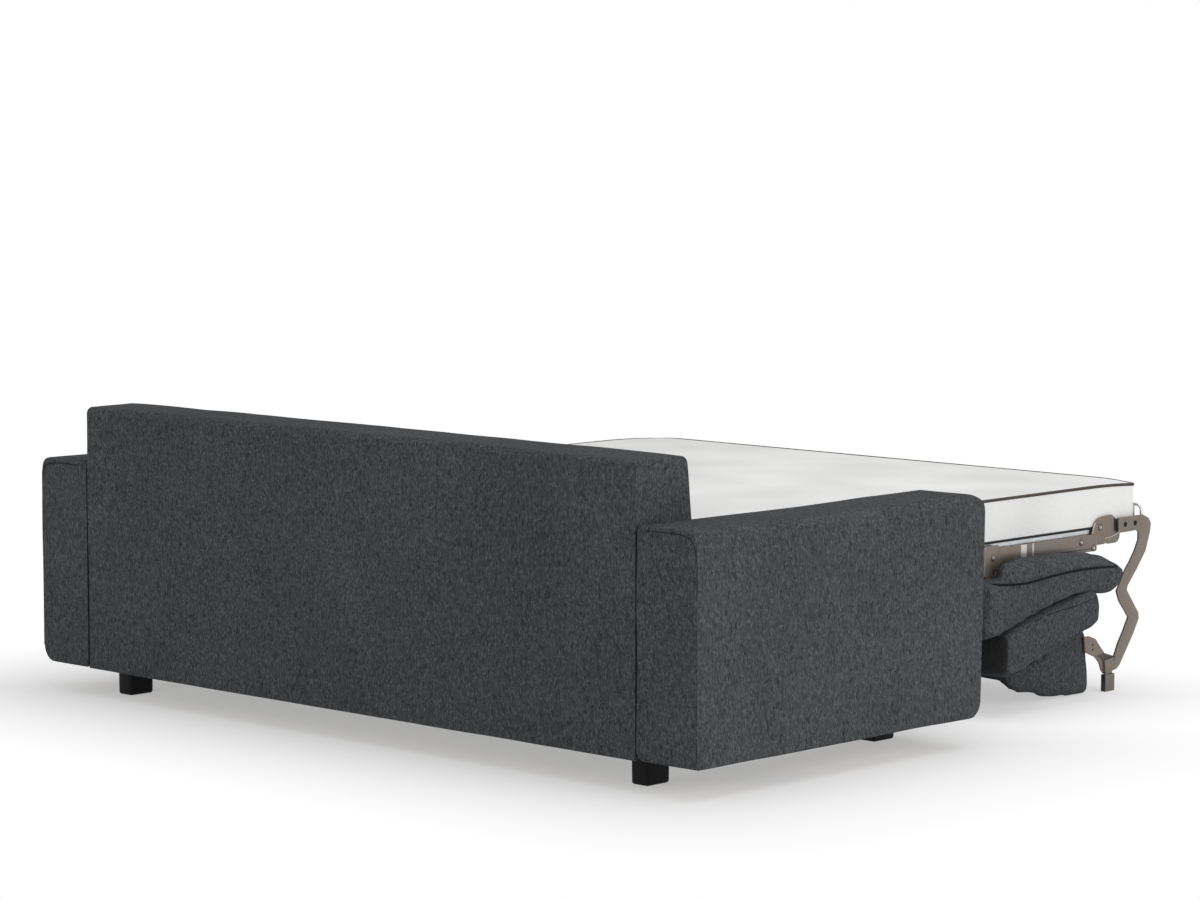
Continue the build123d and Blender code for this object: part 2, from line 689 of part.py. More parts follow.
def drawn_in(points, depth):
    """Outline points pulled towards the middle of the outline by a depth."""
    middle_f = (min(f for f, z in points) + max(f for f, z in points)) / 2
    middle_z = (min(z for f, z in points) + max(z for f, z in points)) / 2
    half_f = max(f for f, z in points) - middle_f
    half_z = max(z for f, z in points) - middle_z
    keep_f = 1 - depth / half_f
    keep_z = 1 - depth / half_z
    return [(middle_f + (f - middle_f) * keep_f, middle_z + (z - middle_z) * keep_z)
            for f, z in points]


def amount_at(share, shares):
    """The amount at a place across a cushion, from a table of places and amounts."""
    for (far, low), (near, high) in zip(shares, shares[1:]):
        if near <= share <= far:
            return low + (high - low) * (far - share) / (far - near)
    return 0.0


def seat_section(share, draw):
    """Side outline of the seat cushion at one place across."""
    crown = seat_crown * amount_at(share, seat_crown_shares)
    lower = from_shares(seat_lower_shares, seat_rear, seat_bottom, seat_length, seat_height)
    upper = [(seat_rear + a * seat_length, seat_bottom + b * seat_height + c * crown)
             for a, b, c in seat_upper_shares]
    return drawn_in(lower + upper, draw * seat_end_draw)


def hinge_places():
    """Places across of the three backrest hinges."""
    return (-rest_hinge_pitch, 0.0, rest_hinge_pitch)


def make_seat():
    """Seat cushion and the board that it is fixed to."""
    board_top = rail_bottom
    board_bottom = board_top - seat_board_thickness
    board = block(-seat_board_half_width, seat_board_half_width, seat_rear + seat_board_inset,
                  seat_rear + seat_length - seat_board_inset, board_bottom, board_top)
    save("seat_board", board)
    soft = cushion(seat_half_width, seat_section, [share for share, amount in seat_crown_shares[1:-1]])
    for x in hinge_places():
        x0 = x - rest_hinge_width / 2 - rest_pocket_gap
        x1 = x + rest_hinge_width / 2 + rest_pocket_gap
        slot = block(x0, x1, rest_hinge - rest_knuckle_radius - rest_pocket_gap,
                     rest_hinge + rest_knuckle_radius + rest_pocket_gap, seat_bottom, board_bottom)
        recess = block(x0, x1, rest_hinge, seat_rear + seat_length + plate_cut,
                       seat_bottom, rest_hinge_height + rest_knuckle_radius + rest_pocket_gap)
        soft = soft - slot - recess
    save("seat_cushion", soft)


def make_rest_hinges():
    """Three hinges between the seat board and the back cushion's board."""
    board_bottom = rail_bottom - seat_board_thickness
    arms = []
    leaves = []
    third = rest_hinge_width / 3
    for x in hinge_places():
        knuckle = cross_rod(rest_hinge, rest_hinge_height, rest_knuckle_radius, x - third / 2 + plate_gap,
                            x + third / 2 - plate_gap)
        arm = block(x - third / 2 + plate_gap, x + third / 2 - plate_gap,
                    rest_hinge - rest_leaf_thickness / 2, rest_hinge + rest_leaf_thickness / 2,
                    rest_hinge_height, board_bottom)
        pin = cross_rod(rest_hinge, rest_hinge_height, rest_pin_radius,
                        x - rest_hinge_width / 2, x + rest_hinge_width / 2)
        arms.append(arm + knuckle + pin)
        leaf_front = rest_hinge - rest_knuckle_radius + rest_leaf_thickness
        leaf = block(x - rest_hinge_width / 2, x + rest_hinge_width / 2,
                     rest_hinge - rest_knuckle_radius, leaf_front,
                     rest_hinge_height - rest_leaf_length, rest_hinge_height)
        notch = block(x - third / 2, x + third / 2, rest_hinge - 2 * rest_knuckle_radius,
                      rest_hinge + rest_knuckle_radius, rest_hinge_height - 2 * rest_knuckle_radius,
                      rest_hinge_height + rest_knuckle_radius)
        for side in (-1, 1):
            middle = x + side * third
            leaf = leaf + cross_rod(rest_hinge, rest_hinge_height, rest_knuckle_radius,
                                    middle - third / 2, middle + third / 2)
        bore = cross_rod(rest_hinge, rest_hinge_height, rest_pin_radius + pin_gap,
                         x - rest_hinge_width, x + rest_hinge_width)
        leaves.append(leaf - notch - bore)
    save("backrest_hinge_arms", arms)
    save("backrest_hinge_leaves", leaves)


def back_cushion_section(share, draw):
    """Side outline of the back cushion at one place across."""
    points = from_shares(back_cushion_shares, back_cushion_rear, back_cushion_bottom,
                         back_cushion_length, back_cushion_height)
    return drawn_in(points, draw * rest_end_draw)


def below_cushion(f, drop):
    """A point that lies below the back cushion's lower face by a distance square to it."""
    low_f, low_z = back_cushion_shares[10]
    high_f, high_z = back_cushion_shares[9]
    run = (high_f - low_f) * back_cushion_length
    rise_over_run = (high_z - low_z) * back_cushion_height / run
    start_f = back_cushion_rear + low_f * back_cushion_length
    start_z = back_cushion_bottom + low_z * back_cushion_height
    return f, start_z + (f - start_f) * rise_over_run - drop * math.hypot(1, rise_over_run)


def wedge_section(share, draw):
    """Side outline of the padded panel at one place across."""
    drop = 2 * soft_gap + rest_board_thickness
    arch = wedge_arch * amount_at(share, wedge_arch_shares)
    points = [(wedge_rear + a * wedge_length, wedge_bottom + b * wedge_height + c * arch)
              for a, b, c in wedge_shares]
    points = points + [below_cushion(wedge_shoulder, drop), below_cushion(wedge_rear, drop)]
    return drawn_in(points, draw * rest_end_draw)


def make_backrest():
    """Back cushion, the board that carries it and the padded panel behind the board."""
    front = rest_hinge - rest_knuckle_radius - pin_gap
    top = soft_gap
    bottom = soft_gap + rest_board_thickness
    board = [below_cushion(rest_board_rear, top), below_cushion(front, top),
             below_cushion(front, bottom), below_cushion(rest_board_rear, bottom)]
    save("backrest_board", side_plate(board, -rest_board_half_width, rest_board_half_width))
    save("back_cushion", cushion(back_cushion_half_width, back_cushion_section))
    save("back_panel", cushion(wedge_half_width, wedge_section,
                               [share for share, amount in wedge_arch_shares[1:-1]]))


os.makedirs("parts", exist_ok=True)
make_arms()
make_back()
make_base()
make_section("head", mattress_rear, head_hinge - section_gap / 2,
             (mattress_rear + tube_rear_inset, head_hinge - tube_front_inset))
make_section("middle", head_hinge + section_gap / 2, fold_hinge - section_gap / 2,
             (head_hinge + tube_rear_inset, fold_hinge - tube_front_inset))
make_section("foot", fold_hinge + section_gap / 2, mattress_foot_end,
             (fold_hinge + tube_rear_inset, seat_rear + seat_length * seat_tube_shares[0],
              seat_rear + seat_length * seat_tube_shares[1], foot_rail_end - cross_tube_width),
             foot_rail_end_gap)
make_head_plates()
make_middle_plates()
make_guides()
make_root_brackets()
make_fold_plates()
make_pins()
make_side_bars()
make_rivets()
make_legs()
make_hoops()
make_seat()
make_rest_hinges()
make_backrest()
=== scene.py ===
# %% [markdown]
# # A sleeper sofa with its bed open
#
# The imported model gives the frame: every steel part, board and foam block at its real size.
# This lesson dresses it. Each step says what the piece is on the real sofa, how it could be made
# in Blender, and why it is made this way. All lengths are in metres, X runs across the sofa,
# Y runs towards its back and Z runs up from the floor.

# %% Load the frame
import json
import math

import bmesh
import bpy
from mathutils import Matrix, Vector


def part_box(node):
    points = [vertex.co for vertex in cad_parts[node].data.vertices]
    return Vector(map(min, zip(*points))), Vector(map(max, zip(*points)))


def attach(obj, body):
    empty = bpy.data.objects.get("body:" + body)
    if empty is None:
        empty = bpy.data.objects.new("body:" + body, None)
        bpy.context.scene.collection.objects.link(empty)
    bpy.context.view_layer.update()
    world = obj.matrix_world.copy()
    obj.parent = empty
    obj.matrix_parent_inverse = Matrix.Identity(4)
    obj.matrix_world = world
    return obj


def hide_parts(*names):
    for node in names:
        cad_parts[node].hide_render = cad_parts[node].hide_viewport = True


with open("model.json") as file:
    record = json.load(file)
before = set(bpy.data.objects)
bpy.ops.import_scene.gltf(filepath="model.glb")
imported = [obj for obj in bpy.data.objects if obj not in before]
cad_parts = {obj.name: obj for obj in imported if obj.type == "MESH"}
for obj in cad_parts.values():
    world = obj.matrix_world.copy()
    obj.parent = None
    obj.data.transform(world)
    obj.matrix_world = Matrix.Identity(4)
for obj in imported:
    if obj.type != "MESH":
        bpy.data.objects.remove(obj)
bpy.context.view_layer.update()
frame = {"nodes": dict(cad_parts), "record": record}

# %% [markdown]
# ## Places along the sofa
#
# A maker measures this sofa from its flat rear face forwards, so a place here is f, the distance
# forward from that face, and z, the height. `at` turns such a place into a point of the frame.

# %% Measures taken from the frame
back_low, back_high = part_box("back_cover")
crest_low, crest_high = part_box("back_crest")
rear_y = back_high[1]


def at(f, z, x=0.0):
    """A point from its distance forward of the rear face, its height and its place across."""
    return Vector((x, rear_y - f, z))


print("rear face at y", round(rear_y, 4))

# %% [markdown]
# ## Working by hand in code
#
# Every new piece starts as a primitive and is shaped in edit mode, as it would be by hand.
# The operators act on whatever is selected, so these small helpers first drop the selection
# and then pick faces, edges or points by their place.

# %% Helpers for selecting and shaping
def clear_selection():
    """Nothing is selected or active."""
    if bpy.context.object and bpy.context.object.mode != "OBJECT":
        bpy.ops.object.mode_set(mode="OBJECT")
    bpy.ops.object.select_all(action="DESELECT")
    bpy.context.view_layer.objects.active = None


def make_active(piece):
    """Only this piece is selected and active."""
    clear_selection()
    piece.select_set(True)
    bpy.context.view_layer.objects.active = piece


def settle(piece):
    """The place, turn and scale of a piece go into its mesh."""
    make_active(piece)
    bpy.ops.object.transform_apply(location=True, rotation=True, scale=True)


def named(name):
    """The active object gets its name."""
    piece = bpy.context.object
    piece.name = name
    piece.data.name = name
    return piece


def start_box(name, low, high):
    """A cube primitive between two corners."""
    clear_selection()
    low, high = Vector(low), Vector(high)
    bpy.ops.mesh.primitive_cube_add(size=1, location=(low + high) / 2)
    piece = named(name)
    piece.scale = high - low
    settle(piece)
    return piece


def open_mesh(piece):
    """Edit mode on this piece."""
    make_active(piece)
    bpy.ops.object.mode_set(mode="EDIT")


def cut_at(point, across):
    """One cut straight through the whole open mesh."""
    bpy.ops.mesh.select_all(action="SELECT")
    bpy.ops.mesh.bisect(plane_co=point, plane_no=across)


def pick(piece, kind, test):
    """Edit mode, with the faces, edges or points selected that pass a test on their middle."""
    open_mesh(piece)
    bpy.ops.mesh.select_mode(type={"faces": "FACE", "edges": "EDGE", "verts": "VERT"}[kind])
    bpy.ops.mesh.select_all(action="DESELECT")
    mesh = bmesh.from_edit_mesh(piece.data)
    for element in getattr(mesh, kind):
        if kind == "verts":
            chosen = test(element.co)
        elif kind == "edges":
            one, two = (v.co for v in element.verts)
            chosen = test((one + two) / 2, (two - one).normalized(), (two - one).length)
        else:
            chosen = test(element.calc_center_median(), element.normal)
        if chosen:
            element.select = True
    mesh.select_flush_mode()
    bmesh.update_edit_mesh(piece.data)


def done(piece):
    """Back to object mode."""
    bpy.ops.object.mode_set(mode="OBJECT")
    return piece


def bevel_picked(width, segments):
    """A round bevel on the selected edges."""
    bpy.ops.mesh.bevel(offset=width, offset_type="OFFSET", segments=segments, profile=0.5, affect="EDGES",
                       clamp_overlap=True)


def apply_modifier(piece, kind, **settings):
    """Add one modifier, set it and apply it."""
    make_active(piece)
    bpy.ops.object.modifier_add(type=kind)
    modifier = piece.modifiers[-1]
    for key, value in settings.items():
        setattr(modifier, key, value)
    bpy.ops.object.modifier_apply(modifier=modifier.name)
    return piece


def bevel_weighted(piece, width, segments, weight):
    """A round bevel whose width on each edge is a share given by the edge's place and direction."""
    mesh = piece.data
    shares = mesh.attributes.new("bevel_weight_edge", "FLOAT", "EDGE")
    for edge in mesh.edges:
        one, two = (mesh.vertices[i].co for i in edge.vertices)
        shares.data[edge.index].value = weight((one + two) / 2, (two - one).normalized())
    return apply_modifier(piece, "BEVEL", width=width, segments=segments, limit_method="WEIGHT")


def paint_faces(piece, material, test):
    """Painted highlight and shade: a second material on the faces that pass a test on their middle and
    normal.
    """
    piece.data.materials.append(material)
    for face in piece.data.polygons:
        if test(face.center, face.normal):
            face.material_index = len(piece.data.materials) - 1


def where_met(piece, start, direction, lift):
    """Where a straight line first meets a piece, lifted a little back towards its start."""
    found, spot = piece.ray_cast(Vector(start), Vector(direction))[:2]
    return spot - Vector(direction) * lift if found else None


def smooth(piece, degrees=40):
    """Smooth shading, with edges sharper than an angle kept."""
    make_active(piece)
    bpy.ops.object.shade_smooth_by_angle(angle=math.radians(degrees))
    return piece


def slice_grid(piece, step, axes="xyz"):
    """Cuts through the whole piece at even steps, so that it can swell and crease."""
    low = [min(v.co[i] for v in piece.data.vertices) for i in range(3)]
    high = [max(v.co[i] for v in piece.data.vertices) for i in range(3)]
    open_mesh(piece)
    for i, axis in enumerate("xyz"):
        if axis not in axes:
            continue
        count = int((high[i] - low[i]) / step)
        normal = [0.0, 0.0, 0.0]
        normal[i] = 1.0
        for k in range(1, count):
            point = [0.0, 0.0, 0.0]
            point[i] = low[i] + (high[i] - low[i]) * k / count
            cut_at(point, normal)
    return done(piece)


def cloud(name, size):
    """A soft noise for gentle unevenness in padding."""
    texture = bpy.data.textures.new(name, "CLOUDS")
    texture.noise_scale = size
    texture.noise_depth = 1
    return texture


padding_waves = cloud("padding_waves", 0.28)
fabric_ripples = cloud("fabric_ripples", 0.07)


def uneven(piece, texture, strength):
    """Padding is never quite flat: push the surface in and out a little."""
    return apply_modifier(piece, "DISPLACE", texture=texture, strength=strength, mid_level=0.5,
                          texture_coords="LOCAL")


# %% [markdown]
# ## Shared finishes as node groups
#
# The upholstery, the lining, the ticking and the painted steel all need the same three effects:
# a weave, a speckle of lighter and darker yarns, and wear along the surface. Each effect is one
# shader group with named inputs, so the real size of a thread or a speckle is set where it is used.

# %% Helpers for shader groups
def new_group(name, inputs, outputs):
    """An empty shader group with its sockets."""
    group = bpy.data.node_groups.new(name, "ShaderNodeTree")
    for label, kind, value in inputs:
        socket = group.interface.new_socket(name=label, in_out="INPUT", socket_type=kind)
        socket.default_value = value
    for label, kind in outputs:
        group.interface.new_socket(name=label, in_out="OUTPUT", socket_type=kind)
    group.nodes.new("NodeGroupInput")
    group.nodes.new("NodeGroupOutput")
    return group


def ends(group):
    """The input and output nodes of a group."""
    kinds = {node.bl_idname: node for node in group.nodes}
    return kinds["NodeGroupInput"].outputs, kinds["NodeGroupOutput"].inputs


def node(tree, kind, links=None, **settings):
    """A node with its settings, its fixed values and its links."""
    made = tree.nodes.new(kind)
    for key, value in settings.items():
        setattr(made, key, value)
    for key, value in (links or {}).items():
        if isinstance(value, bpy.types.NodeSocket):
            tree.links.new(value, made.inputs[key])
        else:
            made.inputs[key].default_value = value
    return made


def math_node(tree, operation, first, second=0.0):
    """One sum on one or two values."""
    return node(tree, "ShaderNodeMath", {0: first, 1: second}, operation=operation).outputs[0]


def mix_colour(tree, factor, first, second, blend="MIX"):
    """One mix of two colours."""
    made = tree.nodes.new("ShaderNodeMix")
    made.data_type = "RGBA"
    made.blend_type = blend
    for index, value in ((0, factor), (6, first), (7, second)):
        if isinstance(value, bpy.types.NodeSocket):
            tree.links.new(value, made.inputs[index])
        else:
            made.inputs[index].default_value = value
    return made.outputs[2]


def stretch(tree, low, high, value, out_low=0.0, out_high=1.0):
    """A value spread from one range to another."""
    return node(tree, "ShaderNodeMapRange", {"Value": value, "From Min": low, "From Max": high,
                                             "To Min": out_low, "To Max": out_high}).outputs[0]


# %% The melange weave group
wave_scale = 0.159


def build_melange():
    """Short upright flecks of lighter yarn over a dark tight weave."""
    group = new_group("melange_weave",
                      [("Yarn", "NodeSocketColor", (0.05, 0.05, 0.05, 1)),
                       ("Fleck", "NodeSocketColor", (0.1, 0.1, 0.1, 1)),
                       ("Shade", "NodeSocketColor", (0.03, 0.03, 0.03, 1)),
                       ("Threads per metre", "NodeSocketFloat", 600.0),
                       ("Fleck size", "NodeSocketFloat", 160.0)],
                      [("Colour", "NodeSocketColor"), ("Height", "NodeSocketFloat")])
    given, result = ends(group)
    place = node(group, "ShaderNodeTexCoord").outputs["Object"]
    upright = node(group, "ShaderNodeMapping", {"Vector": place, "Scale": (1.0, 1.0, 0.52)}).outputs[0]
    fleck = node(group, "ShaderNodeTexNoise", {"Vector": upright, "Scale": given["Fleck size"],
                                               "Detail": 3.0, "Roughness": 0.62}).outputs[0]
    bark = node(group, "ShaderNodeTexNoise",
                {"Vector": upright, "Scale": math_node(group, "MULTIPLY", given["Fleck size"], 0.72),
                 "Detail": 2.0, "Distortion": 0.9}).outputs[0]
    light = stretch(group, 0.46, 0.72, fleck)
    dark = stretch(group, 0.50, 0.32, bark)
    drift = node(group, "ShaderNodeTexNoise", {"Vector": place, "Scale": 3.2, "Detail": 1.0}).outputs[0]
    warp, weft = (node(group, "ShaderNodeTexWave", {"Vector": place, "Scale": math_node(
        group, "MULTIPLY", given["Threads per metre"], wave_scale), "Distortion": 1.2, "Detail": 1.0},
        bands_direction=way).outputs[1] for way in ("Z", "DIAGONAL"))
    weave = math_node(group, "MULTIPLY", warp, weft)
    colour = mix_colour(group, light, given["Yarn"], given["Fleck"])
    colour = mix_colour(group, math_node(group, "MULTIPLY", dark, 0.75), colour, given["Shade"])
    tone = stretch(group, 0.3, 0.7, drift, 0.93, 1.07)
    tint = node(group, "ShaderNodeCombineColor", {0: tone, 1: tone, 2: tone}).outputs[0]
    colour = mix_colour(group, 1.0, colour, tint, "MULTIPLY")
    group.links.new(colour, result["Colour"])
    height = math_node(group, "ADD", math_node(group, "MULTIPLY", weave, 0.35),
                       math_node(group, "MULTIPLY", bark, 0.65))
    group.links.new(height, result["Height"])
    return group


melange = build_melange()


# %% The spangle and wear group for steel
def build_steel_wear():
    """Fine mottling of a coating, faint brush lines and small rubbed spots."""
    group = new_group("steel_wear",
                      [("Colour", "NodeSocketColor", (0.2, 0.18, 0.16, 1)),
                       ("Worn", "NodeSocketColor", (0.4, 0.38, 0.36, 1)),
                       ("Grain size", "NodeSocketFloat", 60.0),
                       ("Roughness", "NodeSocketFloat", 0.4)],
                      [("Colour", "NodeSocketColor"), ("Roughness", "NodeSocketFloat"),
                       ("Height", "NodeSocketFloat")])
    given, result = ends(group)
    place = node(group, "ShaderNodeTexCoord").outputs["Object"]
    grain = node(group, "ShaderNodeTexNoise",
                 {"Vector": place, "Scale": given["Grain size"], "Detail": 5.0, "Roughness": 0.6}).outputs[0]
    long_way = node(group, "ShaderNodeMapping", {"Vector": place, "Scale": (1.0, 0.05, 1.0)}).outputs[0]
    brush = node(group, "ShaderNodeTexNoise", {"Vector": long_way, "Scale": 900.0, "Detail": 2.0}).outputs[0]
    spots = node(group, "ShaderNodeTexNoise", {"Vector": place, "Scale": 23.0, "Detail": 6.0,
                                               "Roughness": 0.75}).outputs[0]
    rubbed = stretch(group, 0.66, 0.76, spots)
    colour = mix_colour(group, math_node(group, "MULTIPLY", rubbed, 0.5), given["Colour"], given["Worn"])
    tone = stretch(group, 0.3, 0.7, grain, 0.92, 1.08)
    tint = node(group, "ShaderNodeCombineColor", {0: tone, 1: tone, 2: tone}).outputs[0]
    colour = mix_colour(group, 1.0, colour, tint, "MULTIPLY")
    group.links.new(colour, result["Colour"])
    rough = math_node(group, "ADD", given["Roughness"], stretch(group, 0.3, 0.7, brush, -0.06, 0.06))
    group.links.new(rough, result["Roughness"])
    group.links.new(math_node(group, "MULTIPLY", grain, brush), result["Height"])
    return group


steel_wear = build_steel_wear()


# %% The timber group
def build_timber():
    """Long grain with darker rings and pores."""
    group = new_group("timber_grain",
                      [("Early", "NodeSocketColor", (0.6, 0.45, 0.3, 1)),
                       ("Late", "NodeSocketColor", (0.4, 0.27, 0.15, 1)),
                       ("Ring size", "NodeSocketFloat", 30.0)],
                      [("Colour", "NodeSocketColor"), ("Height", "NodeSocketFloat")])
    given, result = ends(group)
    place = node(group, "ShaderNodeTexCoord").outputs["Object"]
    along = node(group, "ShaderNodeMapping", {"Vector": place, "Scale": (0.08, 1.0, 1.0)}).outputs[0]
    rings = node(group, "ShaderNodeTexNoise", {"Vector": along, "Scale": given["Ring size"], "Detail": 4.0,
                                               "Distortion": 1.5}).outputs[0]
    pores = node(group, "ShaderNodeTexNoise", {"Vector": along, "Scale": 700.0, "Detail": 2.0}).outputs[0]
    ring_mask = stretch(group, 0.42, 0.62, rings)
    colour = mix_colour(group, ring_mask, given["Early"], given["Late"])
    group.links.new(colour, result["Colour"])
    group.links.new(pores, result["Height"])
    return group


timber_grain = build_timber()


# %% Helper for a finished material
def finish(name, group=None, values=None, bump=0.0, bump_depth=0.001, **shader):
    """A Principled material, fed by one of the groups."""
    made = bpy.data.materials.new(name)
    made.use_nodes = True
    tree = made.node_tree
    base = tree.nodes["Principled BSDF"]
    for key, value in shader.items():
        base.inputs[key.replace("_", " ")].default_value = value
    if group:
        effect = tree.nodes.new("ShaderNodeGroup")
        effect.node_tree = group
        for key, value in (values or {}).items():
            effect.inputs[key].default_value = value
        tree.links.new(effect.outputs["Colour"], base.inputs["Base Color"])
        if "Roughness" in effect.outputs:
            tree.links.new(effect.outputs["Roughness"], base.inputs["Roughness"])
        if bump:
            relief = node(tree, "ShaderNodeBump", {"Strength": bump, "Distance": bump_depth,
                                                   "Height": effect.outputs["Height"]})
            tree.links.new(relief.outputs[0], base.inputs["Normal"])
    return made


# %% [markdown]
# ## The finishes of this sofa
#
# The cover is a dark grey melange with a cool cast. The bed frame is bronze-grey paint over steel,
# with bright galvanised tubes behind it, and the mattress has white ticking with a brown cord.

# %% Materials
charcoal = finish("charcoal_melange", melange,
                  {"Yarn": (0.061, 0.063, 0.067, 1), "Fleck": (0.128, 0.132, 0.139, 1),
                   "Shade": (0.024, 0.025, 0.027, 1), "Threads per metre": 700.0, "Fleck size": 215.0},
                  bump=0.55, bump_depth=0.0014, Roughness=1.0, Specular_IOR_Level=0.02)
# A darker copy of the cover, as painted shade along the seams.
seam_shade_charcoal = finish("seam_shade_charcoal", melange,
                       {"Yarn": (0.020, 0.021, 0.023, 1), "Fleck": (0.035, 0.037, 0.039, 1),
                        "Shade": (0.008, 0.008, 0.009, 1), "Threads per metre": 900.0, "Fleck size": 260.0},
                       bump=0.4, Roughness=0.95, Specular_IOR_Level=0.12)
# Black lining for the boards and the mattress tape, and painted shade on the rear faces of the back cushion
# and panel.
lining = finish("black_lining_and_painted_shade", melange,
                {"Yarn": (0.026, 0.027, 0.029, 1), "Fleck": (0.050, 0.051, 0.054, 1),
                 "Shade": (0.012, 0.012, 0.013, 1), "Threads per metre": 1100.0, "Fleck size": 420.0},
                bump=0.3, Roughness=0.9, Specular_IOR_Level=0.2)
ticking = finish("white_ticking", melange,
                 {"Yarn": (0.80, 0.80, 0.795, 1), "Fleck": (0.83, 0.83, 0.82, 1),
                  "Shade": (0.76, 0.76, 0.76, 1), "Threads per metre": 900.0, "Fleck size": 320.0},
                 bump=0.10, Roughness=0.95, Specular_IOR_Level=0.02)
# Black for the seat piping, and painted shade in the gap between arm and back and along the join between back
# cushion and panel.
black_piping_and_shade = finish("black_piping_and_shade", melange,
                    {"Yarn": (0.009, 0.009, 0.010, 1), "Fleck": (0.018, 0.018, 0.019, 1),
                     "Shade": (0.004, 0.004, 0.004, 1), "Threads per metre": 1400.0, "Fleck size": 500.0},
                    bump=0.3, Roughness=0.9, Specular_IOR_Level=0.1)
brown_cord = finish("brown_cord", melange,
                    {"Yarn": (0.060, 0.043, 0.036, 1), "Fleck": (0.10, 0.075, 0.062, 1),
                     "Shade": (0.028, 0.020, 0.017, 1), "Threads per metre": 1400.0, "Fleck size": 500.0},
                    bump=0.5, Roughness=0.7, Specular_IOR_Level=0.3)
bronze_steel = finish("bronze_grey_steel", steel_wear,
                      {"Colour": (0.200, 0.165, 0.138, 1), "Worn": (0.34, 0.30, 0.27, 1),
                       "Grain size": 140.0, "Roughness": 0.40},
                      bump=0.05, Metallic=0.55, Specular_IOR_Level=0.5)
bright_steel = finish("galvanised_steel", steel_wear,
                      {"Colour": (0.56, 0.57, 0.58, 1), "Worn": (0.74, 0.74, 0.74, 1),
                       "Grain size": 45.0, "Roughness": 0.30},
                      bump=0.04, Metallic=1.0)
# A light copy of the bronze steel, as painted highlights on the bar's step, the plates' rear faces, the
# crease and the rivet tops.
painted_highlight_steel = finish("painted_highlight_bronze", steel_wear,
                      {"Colour": (0.62, 0.56, 0.52, 1), "Worn": (0.80, 0.76, 0.72, 1),
                       "Grain size": 90.0, "Roughness": 0.32},
                      bump=0.03, Metallic=0.5, Specular_IOR_Level=0.5)
# Blackened steel for frame parts, and painted shade: rivet rings, the bar's groove, the shaded part of the
# corner plate and the rear of the pads.
dark_steel = finish("blackened_steel_and_painted_shade", steel_wear,
                    {"Colour": (0.045, 0.045, 0.047, 1), "Worn": (0.12, 0.12, 0.12, 1),
                     "Grain size": 90.0, "Roughness": 0.45},
                    bump=0.05, Metallic=0.6)
# A darker copy of the bronze steel, as painted shade on the flange between leg and bracket.
painted_shade_bronze = finish("painted_shade_bronze_steel", steel_wear,
                     {"Colour": (0.085, 0.070, 0.060, 1), "Worn": (0.16, 0.14, 0.12, 1),
                      "Grain size": 120.0, "Roughness": 0.45},
                     bump=0.05, Metallic=0.5, Specular_IOR_Level=0.4)
# Black plastic for the feet, and painted shade in the two holes of each leg.
black_plastic = finish("black_foot_plastic_and_hole_shade", steel_wear,
                       {"Colour": (0.0045, 0.0045, 0.005, 1), "Worn": (0.012, 0.012, 0.012, 1),
                        "Grain size": 500.0, "Roughness": 0.55},
                       bump=0.12, Specular_IOR_Level=0.16)
pad_plastic = finish("bronze_pad_plastic", steel_wear,
                     {"Colour": (0.150, 0.128, 0.112, 1), "Worn": (0.21, 0.19, 0.17, 1),
                      "Grain size": 400.0, "Roughness": 0.5},
                     bump=0.1, Specular_IOR_Level=0.4)
timber = finish("plain_timber", timber_grain,
                {"Early": (0.58, 0.42, 0.25, 1), "Late": (0.42, 0.28, 0.15, 1), "Ring size": 26.0},
                bump=0.12, Roughness=0.62)
beech = finish("beech_slats", timber_grain,
               {"Early": (0.66, 0.48, 0.30, 1), "Late": (0.54, 0.36, 0.21, 1), "Ring size": 34.0},
               bump=0.1, Roughness=0.5, Coat_Weight=0.15, Coat_Roughness=0.3)

cad_finishes = {"timber": timber, "slat_wood": beech, "frame_steel": bronze_steel,
                "bright_steel": bright_steel, "dark_steel": dark_steel, "black_plastic": black_plastic,
                "pad_plastic": pad_plastic, "charcoal_fabric": charcoal, "mattress_cover": ticking}
node_slots = {part["node"]: part["material_slot"] for part in frame["record"]["subparts"]}
for name, solid in frame["nodes"].items():
    solid.data.materials.clear()
    solid.data.materials.append(cad_finishes[node_slots[name]])
print("finished", len(frame["nodes"]), "frame nodes")


def place(piece, material, body, slot_name, replaced=()):
    """Finish a piece: its material, the body that it rides on and what it stands for."""
    piece.data.materials.clear()
    piece.data.materials.append(material)
    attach(piece, body)
    if replaced:
        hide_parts(*replaced)
    return piece


# %% [markdown]
# ## Arms
#
# An arm is a boarded box wrapped in foam and cloth. Its front leans back a little and is rounder
# than its rear, and the cloth sags gently along the top. A beveled cube gives the exact size.
# Close cuts beside each long corner are then drawn onto an arc, because a bevel of the whole
# length can't keep a round rim on the rear face. On this sofa the lower outer corner is full on
# the right arm and tight on the left. A slow noise lets the padding swell.

# %% Make the arms
arm_front_round = 0.046
arm_toe_round = 0.040
arm_toe_height = 0.090
arm_front_draw = 0.0045
arm_toe_draw = 0.016
arm_rear_round = 0.010
arm_long_round = 0.017
arm_corner_share = 0.34
arm_crown = 0.002
arm_sag = 0.004
arm_sag_depth = 0.12
arm_skin = 0.0005
arm_top_corner = 0.030
arm_foot_corners = {"left": 0.006, "right": 0.045}
arm_inner_corner = 0.023
arm_rim_round = 0.006
corner_cut_shares = (0.10, 0.26, 0.45, 0.70, 1.0)
arm_cut_step = 0.04
on_face = 1e-4
edge_reach = 0.01
toe_reach = 0.04
crown_reach = 0.004
padding_swell = 0.004
ripple_depth = 0.0012
rear_reach = 0.004
rear_edge_reach = 0.003


